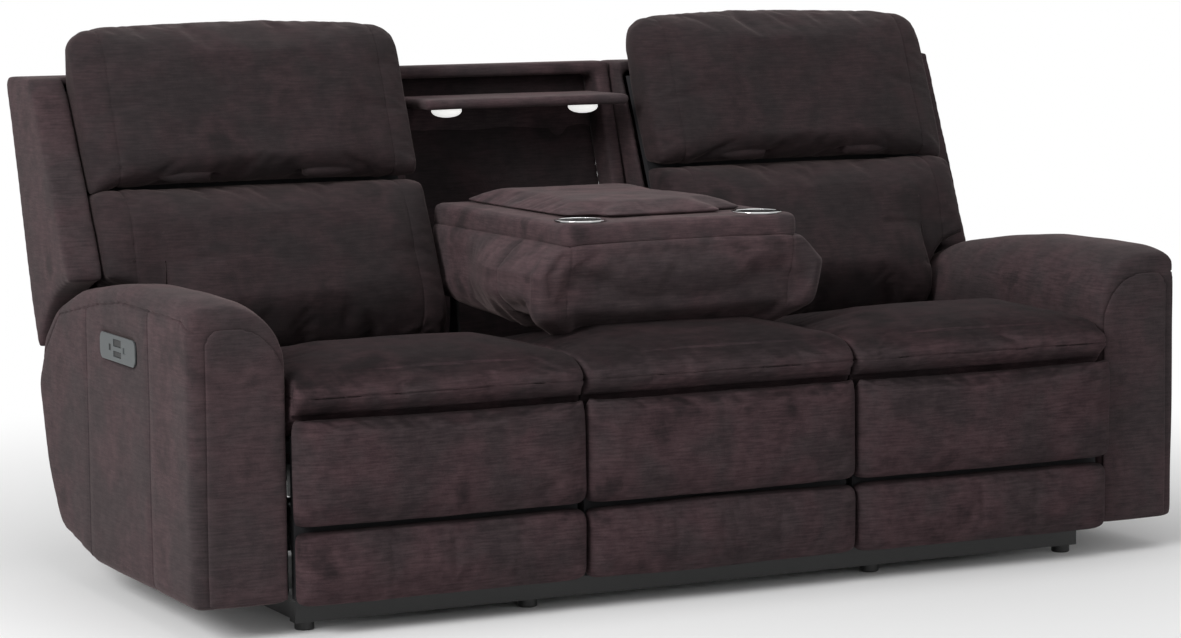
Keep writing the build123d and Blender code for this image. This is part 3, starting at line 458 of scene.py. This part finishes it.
def hold_between(bm, low=None, high=None, axis=0):
    """Flattens a cover against its neighbours."""
    for vertex in bm.verts:
        if low is not None:
            vertex.co[axis] = max(vertex.co[axis], low)
        if high is not None:
            vertex.co[axis] = min(vertex.co[axis], high)


def clamped(value):
    """A value held between 0 and 1."""
    return min(max(value, 0), 1)


def between(points, value):
    """The height at a value, on straight lines between (value, height) points."""
    for (v0, h0), (v1, h1) in zip(points, points[1:]):
        if value < v1:
            return h0 + (h1 - h0) * max(0.0, (value - v0) / (v1 - v0))
    return points[-1][1]


def square_off(bm, axes, corner, inward, radius, power=7):
    """Fills out a rounded edge, so that the joint beside it closes. corner is the sharp edge's
    place on the two axes, inward the sign of the way into the cover on each. The higher the
    power, the squarer the edge."""
    middle = [place + sign * radius for place, sign in zip(corner, inward)]
    furthest = 1.5  # radii from the middle, past which a vertex isn't on the edge
    for vertex in bm.verts:
        out = [-(vertex.co[axis] - m) * sign / radius for axis, m, sign in zip(axes, middle, inward)]
        if min(out) <= 0 or max(out) > furthest:
            continue
        grow = math.hypot(*out) / (out[0] ** power + out[1] ** power) ** (1 / power)
        for axis, m in zip(axes, middle):
            vertex.co[axis] = m + (vertex.co[axis] - m) * grow


def lower_over_arm(bm, inner_x, cut, reach):
    """Brings the underside of a back's cover down to the arm, from inner_x outwards. Its solid
    ends at the radius cut about the recline's pivot, clear of the swing, and padding within
    reach of that follows. With the back fully reclined the lowered edge presses into the arm."""
    pivot = at(0, 700, 320)
    top_radius, more_behind = 295, 17  # mm from the pivot to the arm's top, and the gain to its rear
    front_turn, sweep = -28, 75  # degrees from upright where the gain starts, and that it takes
    rounding = 118 * MM  # radius of the arm's top, seen from the front
    most = 60 * MM  # that the rounding lowers the underside
    for vertex in bm.verts:
        away = math.hypot(vertex.co.y - pivot.y, vertex.co.z - pivot.z)
        if vertex.co.x < inner_x or away > cut + reach:
            continue
        turn = math.degrees(math.atan2(vertex.co.y - pivot.y, vertex.co.z - pivot.z))
        arm = (top_radius + more_behind * clamped((turn - front_turn) / sweep)) * MM
        aside = min(max(ARM_SIDE + rounding - vertex.co.x, 0), rounding)
        arm -= min(rounding - math.sqrt(rounding ** 2 - aside ** 2), most)
        share = 1 - clamped((away - cut) / reach)
        new = away - share * (cut - arm)
        vertex.co.y = pivot.y + (vertex.co.y - pivot.y) * new / away
        vertex.co.z = pivot.z + (vertex.co.z - pivot.z) * new / away


def mirrored(bm):
    """The same cover for the other side of the sofa."""
    other = bm.copy()
    bmesh.ops.scale(other, vec=(-1, 1, 1), verts=other.verts)
    bmesh.ops.reverse_faces(other, faces=other.faces)
    return other


def both_sides(bm):
    """A right cover and its mirrored left one, each with its side's name."""
    return (("right", bm), ("left", mirrored(bm)))


def cushion(bm, body, node, finish):
    """Keeps a cover as a padded piece that stands for its CAD node."""
    piece = new_piece(node + "_cover", bm, finish, body)
    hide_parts(node)
    return piece


# ---------------------------------------------------------------- operators


class SOFA_OT_finishes(bpy.types.Operator):
    """Makes the materials and dresses the hard parts of the frame in them"""

    bl_idname = "sofa.finishes"
    bl_label = "Finishes"

    def execute(self, context):
        make_finishes(context.scene.sofa_colours)
        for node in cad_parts.values():
            for place in node.material_slots:
                place.material = FINISHES[place.material.name]
        return {"FINISHED"}


class SOFA_OT_seats(bpy.types.Operator):
    """Makes the seat cushions and the padded front below each one"""

    bl_idname = "sofa.seats"
    bl_label = "Seats"

    joint = 419.5  # height of the joint between a seat's front and its leg pad
    stitching = 452  # height of the stitched line on a seat's front

    def execute(self, context):
        padding = context.scene.sofa_padding
        skins = {}
        for side in ("right", "middle"):
            skins[side, "seat_cushion"] = even_skin(
                side + "_seat_cushion", padding.grid, (0.5 * MM, 5 * MM, 5 * MM))
            for kind in ("leg_pad", "foot_pad"):
                skins[side, kind] = even_skin(
                    side + "_" + kind, padding.grid * THIN_GRID, (0.5 * MM, 3 * MM, 1 * MM))
        covers = {}
        for (side, kind), skin in skins.items():
            low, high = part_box(side + "_" + kind)
            if kind == "seat_cushion":
                covers[skin] = (padding.cushion_swell, tacks(low, high, x=8, rear=40, bottom=56))
            else:
                top = 6 if kind == "foot_pad" else 0
                covers[skin] = (padding.pad_swell, tacks(low, high, x=8, rear=22, bottom=6, top=top))
        fill_covers(covers)
        for (side, kind), skin in skins.items():
            node = side + "_" + kind
            low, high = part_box(node)
            bm = finer(skin)
            wrinkle(bm, height=2.6 * MM, length=0.21, seed=len(node))
            hold_between(bm, low.x, high.x)
            if kind != "foot_pad":
                self.close_front(bm, low, high, kind)
            if kind == "seat_cushion":
                hold_between(bm, low.z - 2 * MM, None, axis=2)
                self.sit_in(bm)
                sew(bm, at(0, 0, self.stitching), (0, 0, 1), in_front_of(90), 1 * MM, deep=0.6)
            if side == "middle":
                cushion(bm, "base", node, "seat_fabric")
                continue
            if kind != "foot_pad":
                self.over_panel(bm, high.x)
            for hand, cover in both_sides(bm):
                body = "base" if kind == "seat_cushion" else hand + "_leg_rest"
                cushion(cover, body, hand + "_" + kind, "seat_fabric")
        return {"FINISHED"}

    def close_front(self, bm, low, high, kind):
        """Fills out the edges of a seat's front and its leg pad where they meet, and keeps both
        behind one limit."""
        level = self.joint * MM
        inward = 1 if kind == "seat_cushion" else -1
        foremost = at(0, -9, 0).y
        behind = at(0, 50, 0).y  # the two are held apart as far back as this
        half_gap = 0.25 * MM
        for vertex in bm.verts:
            vertex.co.y = max(vertex.co.y, foremost)
        square_off(bm, (1, 2), (low.y + 2 * MM, level), (1, inward), radius=22 * MM, power=4)
        for x, side in ((low.x, 1), (high.x, -1)):
            square_off(bm, (0, 2), (x, level), (side, inward), radius=24 * MM)
        hold_between(bm, low.x, high.x)
        for vertex in bm.verts:
            if vertex.co.y < behind:
                edge = level + inward * half_gap
                vertex.co.z = max(vertex.co.z, edge) if inward > 0 else min(vertex.co.z, edge)

    def sit_in(self, bm):
        """Lets a seat's crown down to where its padding has settled, and rounds its front back."""
        left = [(30, 0.60), (150, 0.74), (268, 0.88), (450, 0.76), (609, 0.64), (700, 0.60)]
        base = 0.430  # height above which the crown comes down, to the share left at each depth
        # the front rounds back from the height edge, and one rise higher by round_by mm
        edge, rise, round_by = 0.445, 0.045, 48
        most, proud = 60, 8  # mm: the rounding's limit, and how far the front may stand proud
        for vertex in bm.verts:
            if vertex.co.z > base:
                depth = (vertex.co.y - FRONT_FACE) / MM
                vertex.co.z = base + (vertex.co.z - base) * between(left, depth)
            back = round_by * max(0.0, (vertex.co.z - edge) / rise) ** 2
            vertex.co.y = max(vertex.co.y, at(0, min(back, most) - proud, 0).y)

    def over_panel(self, bm, side):
        """Lets the padding in front of the arm's panel spread a little past the arm's inner side."""
        panel, fade = at(0, 38, 0).y, 14 * MM
        spread, reach = 8 * MM, 60 * MM
        for vertex in bm.verts:
            near = max(0.0, 1 - (side - vertex.co.x) / reach)
            vertex.co.x += spread * near * clamped((panel - vertex.co.y) / fade)


class SOFA_OT_backs(bpy.types.Operator):
    """Makes the end seats' back cushions and headrests"""

    bl_idname = "sofa.backs"
    bl_label = "Backs and headrests"

    pin_aside = 150 * MM  # from the headrest's middle to each of the pins that it tilts on

    def execute(self, context):
        padding = context.scene.sofa_padding
        inset = (0.5 * MM, 5 * MM, 2 * MM)
        low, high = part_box("right_back_cushion")
        middle = (low.x + high.x) / 2
        back = even_skin("right_back_cushion", padding.grid, inset)
        head = even_skin("right_headrest", padding.grid, inset,
                         (middle - self.pin_aside, middle + self.pin_aside), slot_half=8.3 * MM)
        lean = math.tan(math.radians(24))
        board, foot = 800, 0.480  # depth of the leaning board at its foot, and the foot's height
        held, held_aside = 34, 6 * MM  # how far from the board and the sides a cover is tacked

        def on_board(p):
            """Near the leaning board behind the cushions, or on their sides."""
            rest = at(0, board - held, 0).y + (p.z - foot) * lean
            return p.y > rest or p.x < low.x + held_aside or p.x > high.x - held_aside

        fill_covers({back: (padding.cushion_swell, on_board), head: (padding.cushion_swell, on_board)})
        for kind, skin, body in (("back_cushion", back, "back"), ("headrest", head, "head")):
            bm = finer(skin)
            wrinkle(bm, height=3.0 * MM, length=0.19, seed=3)
            hold_between(bm, low.x, high.x)
            if kind == "headrest":
                self.narrow_behind(bm, middle)
                self.droop(bm, high.x)
                self.cover_pins(bm, middle)
            else:
                self.rest_on_seat(bm)
                lower_over_arm(bm, inner_x=0.899, cut=0.332, reach=0.09)
            for x in (low.x + 62 * MM, high.x - 62 * MM):
                sew(bm, Vector((x, 0, 0)), (1, 0, 0), sink=3 * MM, deep=0.35)
            for hand, cover in both_sides(bm):
                # in a darker copy of the cloth: painted shade
                cushion(cover, hand + "_" + body, hand + "_" + kind, "back_fabric")
        return {"FINISHED"}

    def narrow_behind(self, bm, middle):
        """Draws the headrest's sides in towards its rear."""
        start, end = at(0, 975, 0).y, at(0, 1085, 0).y
        share = 0.11  # of its width that is gone at the end
        for vertex in bm.verts:
            step = clamped((vertex.co.y - start) / (end - start))
            vertex.co.x = middle + (vertex.co.x - middle) * (1 - share * step * step)

    def cover_pins(self, bm, middle):
        """Keeps the headrest's padding over the pins that it tilts on."""
        axis = at(0, 854.6, 815)
        thick, reach = 15.5 * MM, 70 * MM  # the padding's radius at a pin, which fades to each side
        for vertex in bm.verts:
            aside = abs(abs(vertex.co.x - middle) - self.pin_aside) / reach
            away = math.hypot(vertex.co.y - axis.y, vertex.co.z - axis.z)
            if aside >= 1 or away == 0:
                continue
            clear = thick * math.cos(aside * math.pi / 2) ** 0.5
            if away < clear:
                vertex.co.y = axis.y + (vertex.co.y - axis.y) * clear / away
                vertex.co.z = axis.z + (vertex.co.z - axis.z) * clear / away

    def rest_on_seat(self, bm):
        """Lets a back cushion's lower edge down on the seat, beside the arm."""
        drop, fade = 0.036, 0.02  # how far it comes down, and over what width this starts
        foot, reach = 0.488, 0.16  # it comes down fully at this height, and less up to reach above
        for vertex in bm.verts:
            beside = clamped((ARM_SIDE - vertex.co.x) / fade)
            low = clamped(1 - (vertex.co.z - foot) / reach)
            vertex.co.z -= drop * beside * low ** 2

    def droop(self, bm, side):
        """Lets the headrest's lower outer corner hang over the groove."""
        drop, bottom, front = 26 * MM, 0.793, at(0, 810, 0).y
        reach, tall, deep = 75 * MM, 110 * MM, 90 * MM  # how far the droop reaches in, up and back
        for vertex in bm.verts:
            near = max(0.0, 1 - (side - vertex.co.x) / reach)
            low = max(0.0, 1 - (vertex.co.z - bottom) / tall)
            ahead = max(0.0, 1 - (vertex.co.y - front) / deep)
            vertex.co.z -= drop * near ** 1.5 * low * min(ahead * 2, 1)


class SOFA_OT_shells(bpy.types.Operator):
    """Makes the upholstered outer shells behind and beside the backs"""

    bl_idname = "sofa.shells"
    bl_label = "Back shells"

    def execute(self, context):
        for hand in ("right", "left"):  # each from its own solid: the two wings differ
            bm = finer(even_skin(hand + "_back_shell", grid=0.008))
            if hand == "left":  # shaped on the right-hand side, where the arm's values are
                bm = mirrored(bm)
            wrinkle(bm, height=1.5 * MM, length=0.2, seed=5)
            lower_over_arm(bm, inner_x=1.0, cut=0.329, reach=0.07)
            if hand == "left":
                bm = mirrored(bm)
            cushion(bm, hand + "_back", hand + "_back_shell", "arm_fabric")
        return {"FINISHED"}


class SOFA_OT_arms(bpy.types.Operator):
    """Makes the padded arms and their front panels"""

    bl_idname = "sofa.arms"
    bl_label = "Arms"

    # (depth, height) of the seam along the arm's outer side, and of the upper ends of the two that
    # run down from it
    arch = ((52, 585), (100, 603), (267, 605), (439, 606), (589, 589), (841, 546), (985, 420))
    uprights = ((286, 605), (662, 578))

    def execute(self, context):
        low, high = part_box("right_arm")
        bm = finer(even_skin("right_arm", grid=0.010))
        wrinkle(bm, height=2.2 * MM, length=0.24, seed=9)
        hold_between(bm, low.x, high.x)
        outer_face = high.x - 30 * MM  # past this x only the outer side lies
        sew_path(bm, self.arch, lambda p: p.x > outer_face, sink=2 * MM)
        for depth, top in self.uprights:
            end = at(0, depth, top)
            sew(bm, at(0, depth, 0), (0, 1, 0), lambda p: p.x > outer_face and p.z < end.z, 2 * MM)
        for hand, cover in both_sides(bm):
            cushion(cover, "base", hand + "_arm", "arm_fabric")
        bm = finer(even_skin("right_arm_panel", grid=0.006))
        wrinkle(bm, height=1.0 * MM, length=0.2, seed=4)
        for hand, cover in both_sides(bm):
            cushion(cover, "base", hand + "_arm_panel", "arm_fabric")
        return {"FINISHED"}


class SOFA_OT_recess(bpy.types.Operator):
    """Makes the covered frame and lining of the middle back, and its hanging flap"""

    bl_idname = "sofa.recess"
    bl_label = "Recess"

    def execute(self, context):
        bm = finer(even_skin("middle_back_frame", grid=0.008))
        cushion(bm, "base", "middle_back_frame", "cushion_fabric")
        bm = finer(even_skin("middle_back_panel", grid=0.008))
        wrinkle(bm, height=1.5 * MM, length=0.2, seed=6)
        self.fit_panel(bm)
        # in the darkest copy of the cloth: painted shade
        cushion(bm, "base", "middle_back_panel", "recess_fabric")
        self.hang_flap()
        return {"FINISHED"}

    def fit_panel(self, bm):
        """Takes the panel up into the top rail, and gives it hollows that the lamps fold into."""
        lift, upper, rise = 14 * MM, 0.95, 0.04  # raised from the height upper, by lift a rise higher
        lamp_x, lamp_z = 0.165, 0.816  # where a folded lamp lies
        radius, hollow = 60 * MM, 9 * MM
        for vertex in bm.verts:
            vertex.co.z += lift * max(0.0, (vertex.co.z - upper) / rise)
            away = math.hypot(abs(vertex.co.x) - lamp_x, vertex.co.z - lamp_z) / radius
            if away < 1 and vertex.normal.y < 0:
                vertex.co.y += hollow * math.cos(away * math.pi / 2)

    def hang_flap(self):
        """The strip of cloth below the light bar."""
        low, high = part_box("light_flap")
        middle = (low + high) / 2
        width, drop = high.x - low.x, high.z - low.z
        sway, length = 4 * MM, 0.11  # depth of the waves at the lower edge, and their length
        bm = bmesh.new()
        bmesh.ops.create_grid(bm, x_segments=90, y_segments=16, size=0.5)
        bmesh.ops.scale(bm, vec=(width, drop, 1), verts=bm.verts)
        bmesh.ops.rotate(bm, matrix=Matrix.Rotation(math.pi / 2, 3, "X"), verts=bm.verts)
        bmesh.ops.translate(bm, vec=middle, verts=bm.verts)
        for vertex in bm.verts:
            down = (high.z - vertex.co.z) / drop
            wave = noise.noise(Vector((vertex.co.x / length, 0.3, 0.0)))
            vertex.co.y += wave * sway * down
        # in the lightest copy of the cloth: painted light
        flap = new_piece("light_flap_cloth", bm, "table_fabric", "base")
        flap.modifiers.new("Cloth", "SOLIDIFY").thickness = 1.6 * MM
        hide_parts("light_flap")


class SOFA_OT_light(bpy.types.Operator):
    """Makes the covered light bar and its two lamps"""

    bl_idname = "sofa.light"
    bl_label = "Light bar"

    # (radius, height) in mm of a lamp's domed cover, from its lowest point round to its middle
    profile = ((0, -17), (9, -16.6), (18, -15), (25, -12.4), (30, -9), (33, -4.5), (33, 4), (0, 4))

    def execute(self, context):
        bm = finer(even_skin("light_bar", grid=0.006))
        wrinkle(bm, height=1.0 * MM, length=0.15, seed=2)
        # in the lightest copy of the cloth: painted light
        cushion(bm, "light", "light_bar", "table_fabric")
        low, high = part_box("light_lenses")
        depth = (low.y + high.y) / 2
        widest = max(radius for radius, _ in self.profile) * MM
        for side, x in (("left", low.x + widest), ("right", high.x - widest)):
            bm = bmesh.new()
            points = [bm.verts.new(Vector((r * MM, 0, z * MM))) for r, z in self.profile]
            edges = [bm.edges.new(pair) for pair in zip(points, points[1:])]
            bmesh.ops.spin(
                bm, geom=[*points, *edges], cent=(0, 0, 0), axis=(0, 0, 1), angle=2 * math.pi,
                steps=48, use_merge=True)
            bmesh.ops.remove_doubles(bm, verts=bm.verts, dist=WELD)
            bmesh.ops.recalc_face_normals(bm, faces=bm.faces)
            bmesh.ops.translate(bm, vec=(x, depth, low.z), verts=bm.verts)
            lamp = new_piece(side + "_lamp", bm, "lens", "light")
            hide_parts("light_lenses")
        return {"FINISHED"}


class SOFA_OT_table(bpy.types.Operator):
    """Makes the drop down table's covers: tray, raised pad and the cushion below"""

    bl_idname = "sofa.table"
    bl_label = "Drop down table"

    tray_bottom = 0.698  # height where the tray meets the cushion

    def execute(self, context):
        padding = context.scene.sofa_padding
        tray = even_skin("table_tray", grid=0.006)
        pad = even_skin("table_pad", padding.grid * THIN_GRID, (1 * MM, 1 * MM, 1 * MM))
        body = even_skin("table_cushion", padding.grid, (1 * MM, 4 * MM, 2 * MM))
        pad_low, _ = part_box("table_pad")
        low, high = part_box("table_cushion")
        fill_covers({
            pad: (padding.pad_swell, lambda p: p.z < pad_low.z + 8 * MM),
            body: (padding.cushion_swell, tacks(low, high, x=1, rear=60, top=10))})
        for node, skin in (("table_tray", tray), ("table_pad", pad), ("table_cushion", body)):
            bm = finer(skin)
            wrinkle(bm, height=2.0 * MM, length=0.16, seed=8)
            if node == "table_tray":
                self.hang_band(bm)
            if node == "table_cushion":
                self.shape_cushion(bm, low, high)
            # in the lightest copy of the cloth: painted light
            piece = cushion(bm, "table", node, "table_fabric")
            if node == "table_cushion":
                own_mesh(piece)
        return {"FINISHED"}

    def hang_band(self, bm):
        """Lets the tray's padded band hang over the cushion's top."""
        drop, reach = 11 * MM, 0.022
        for vertex in bm.verts:
            vertex.co.z -= drop * max(0.0, 1 - (vertex.co.z - self.tray_bottom) / reach)

    def shape_cushion(self, bm, low, high):
        """Fills out the cushion's front edges, lets it bulge, and sews its channels."""
        square_off(bm, (1, 2), (low.y - 2 * MM, high.z), (1, -1), radius=30 * MM)
        square_off(bm, (1, 2), (low.y, low.z - 8 * MM), (1, 1), radius=60 * MM, power=3)
        hold_between(bm, None, high.z - 0.5 * MM, axis=2)
        self.spread(bm)
        channel_x, front = 0.25, in_front_of(215)
        for x in (-channel_x, channel_x):
            sew(bm, Vector((x, 0, 0)), (1, 0, 0), front, sink=1.5 * MM, deep=0.5)
        side = 0.27  # x past which only the cushion's bulging sides lie
        sew(bm, at(0, 372, 0), (0, 1, 0), lambda p: abs(p.x) > side, sink=3 * MM, deep=0.8)

    def spread(self, bm):
        """Lets the cushion bulge past its frame in front of the backs, and sag a little."""
        start, end = at(0, 390, 0).y, at(0, 660, 0).y
        wider, bulge = 1.01, 0.20  # shares of its width: all over, and added by the bulge
        edge = 0.06  # the bulge grows over this height, from the tray down
        sag, sag_height, sag_reach = 0.010, 0.52, 0.09  # in full at its height, and less above
        for vertex in bm.verts:
            free = 1 - clamped((vertex.co.y - start) / (end - start))
            free = free * free * (3 - 2 * free)
            under = clamped((self.tray_bottom - vertex.co.z) / edge)
            vertex.co.x *= wider + bulge * free * under
            vertex.co.z -= sag * free * max(0.0, 1 - (vertex.co.z - sag_height) / sag_reach)


class SOFA_OT_stage(bpy.types.Operator):
    """Puts up the floor, the soft studio lights and the camera"""

    bl_idname = "sofa.stage"
    bl_label = "Stage"

    def execute(self, context):
        scene = context.scene
        scene.view_settings.view_transform = "Standard"
        self.lay_floor(scene)
        self.light_world(scene)
        aim = Vector((0, 0, 0.5))
        for name, place, size, power in (  # metres and watts
                ("key", (-5.2, -2.4, 3.4), 2.4, 290.0),
                ("fill", (2.6, -5.0, 2.0), 3.0, 26.0),
                ("top", (0.0, -0.6, 4.0), 3.0, 42.0)):
            lamp = bpy.data.lights.new(name, "AREA")
            lamp.size = size
            lamp.energy = power
            holder = bpy.data.objects.new(name, lamp)
            holder.location = place
            holder.rotation_euler = (aim - Vector(place)).to_track_quat("-Z", "Y").to_euler()
            scene.collection.objects.link(holder)
        self.place_camera(scene)
        return {"FINISHED"}

    def lay_floor(self, scene):
        """A wide pale floor that keeps the sofa's shadow, and turns white further out."""
        fade = 0.36  # one over the distance, in metres, that the floor is white from
        bm = bmesh.new()
        bmesh.ops.create_grid(bm, x_segments=2, y_segments=2, size=30.0)
        mesh = bpy.data.meshes.new("floor")
        bm.to_mesh(mesh)
        bm.free()
        floor = keep_object("floor", mesh)
        tree, shader, place = new_material(
            "studio_floor", Base_Color=tuple(scene.sofa_colours.floor), Roughness=0.9)
        away = add_node(tree, "ShaderNodeTexGradient", {"gradient_type": "SPHERICAL"}, {
            "Vector": add_node(tree, "ShaderNodeMapping", None, {
                "Vector": place, "Scale": (fade, fade, fade)}).outputs["Vector"]})
        near = add_steps(tree, away.outputs["Fac"], 0.0, 0.75)
        seen = add_node(tree, "ShaderNodeLightPath").outputs["Is Camera Ray"]
        white = add_node(tree, "ShaderNodeMath", {"operation": "SUBTRACT"}, {0: seen, 1: near})
        glow = add_node(tree, "ShaderNodeEmission", None, {"Color": (1, 1, 1, 1), "Strength": 1.0})
        blend = add_node(tree, "ShaderNodeMixShader", None, {
            0: white.outputs["Value"], 1: shader.outputs["BSDF"], 2: glow.outputs["Emission"]})
        tree.links.new(blend.outputs["Shader"], tree.nodes["Material Output"].inputs["Surface"])
        mesh.materials.append(FINISHES["studio_floor"])

    def light_world(self, scene):
        """Even daylight on the sofa, white where the camera, metal or glass sees it."""
        world = bpy.data.worlds.new("studio")
        world.use_nodes = True
        scene.world = world
        tree = world.node_tree
        tree.nodes.clear()
        path = add_node(tree, "ShaderNodeLightPath")
        seen = add_node(tree, "ShaderNodeMath", {"operation": "MAXIMUM"}, {
            0: path.outputs["Is Camera Ray"], 1: path.outputs["Is Glossy Ray"]})
        seen = add_node(tree, "ShaderNodeMath", {"operation": "MAXIMUM"}, {
            0: seen.outputs["Value"], 1: path.outputs["Is Transmission Ray"]})
        plain = add_node(tree, "ShaderNodeBackground", None, {"Color": (1, 1, 1, 1), "Strength": 0.30})
        white = add_node(tree, "ShaderNodeBackground", None, {"Color": (1, 1, 1, 1), "Strength": 1.0})
        mix = add_node(tree, "ShaderNodeMixShader", None, {
            0: seen.outputs["Value"], 1: plain.outputs["Background"], 2: white.outputs["Background"]})
        add_node(tree, "ShaderNodeOutputWorld", None, {"Surface": mix.outputs["Shader"]})

    def place_camera(self, scene):
        """The camera of the photograph: a long lens from the front left, a little above."""
        turn, dip, roll = 0.4534, 0.1124, -0.0091  # radians
        line = Vector((math.sin(turn) * math.cos(dip), math.cos(turn) * math.cos(dip), -math.sin(dip)))
        across = Vector((math.cos(turn), -math.sin(turn), 0))
        up = across.cross(line)
        right = across * math.cos(roll) + up * math.sin(roll)
        top = up * math.cos(roll) - across * math.sin(roll)
        camera = bpy.data.cameras.new("camera")
        camera.sensor_width = 36.0  # mm, as the lens
        camera.lens = 106.2
        camera.clip_end = 100.0
        holder = bpy.data.objects.new("camera", camera)
        place = Matrix((right, top, -line)).transposed().to_4x4()
        place.translation = Vector((-3.21074, -6.55742, 1.32111))
        holder.matrix_world = place
        scene.collection.objects.link(holder)
        scene.camera = holder


class SOFA_PT_panel(bpy.types.Panel):
    """Lists the sofa's sizes, colours and pieces"""

    bl_label = "Sofa"
    bl_space_type = "VIEW_3D"
    bl_region_type = "UI"
    bl_category = "Sofa"

    def draw(self, context):
        for group in (context.scene.sofa_padding, context.scene.sofa_colours):
            box = self.layout.box()
            for name in group.__annotations__:
                box.prop(group, name)
        for operator in OPERATORS:
            self.layout.operator(operator.bl_idname)


OPERATORS = (
    SOFA_OT_finishes, SOFA_OT_seats, SOFA_OT_backs, SOFA_OT_shells, SOFA_OT_arms,
    SOFA_OT_recess, SOFA_OT_light, SOFA_OT_table, SOFA_OT_stage)
CLASSES = (SofaPadding, SofaColours, *OPERATORS, SOFA_PT_panel)


def register():
    """Registers the classes and hangs the settings on the scene."""
    for cls in CLASSES:
        bpy.utils.register_class(cls)
    bpy.types.Scene.sofa_padding = PointerProperty(type=SofaPadding)
    bpy.types.Scene.sofa_colours = PointerProperty(type=SofaColours)


def unregister():
    """Takes the settings and classes away again."""
    del bpy.types.Scene.sofa_colours
    del bpy.types.Scene.sofa_padding
    for cls in reversed(CLASSES):
        bpy.utils.unregister_class(cls)


def main():
    """Builds the whole sofa."""
    register()
    for operator in OPERATORS:
        group, name = operator.bl_idname.split(".")
        getattr(getattr(bpy.ops, group), name)()


if __name__ == "__main__":
    main()
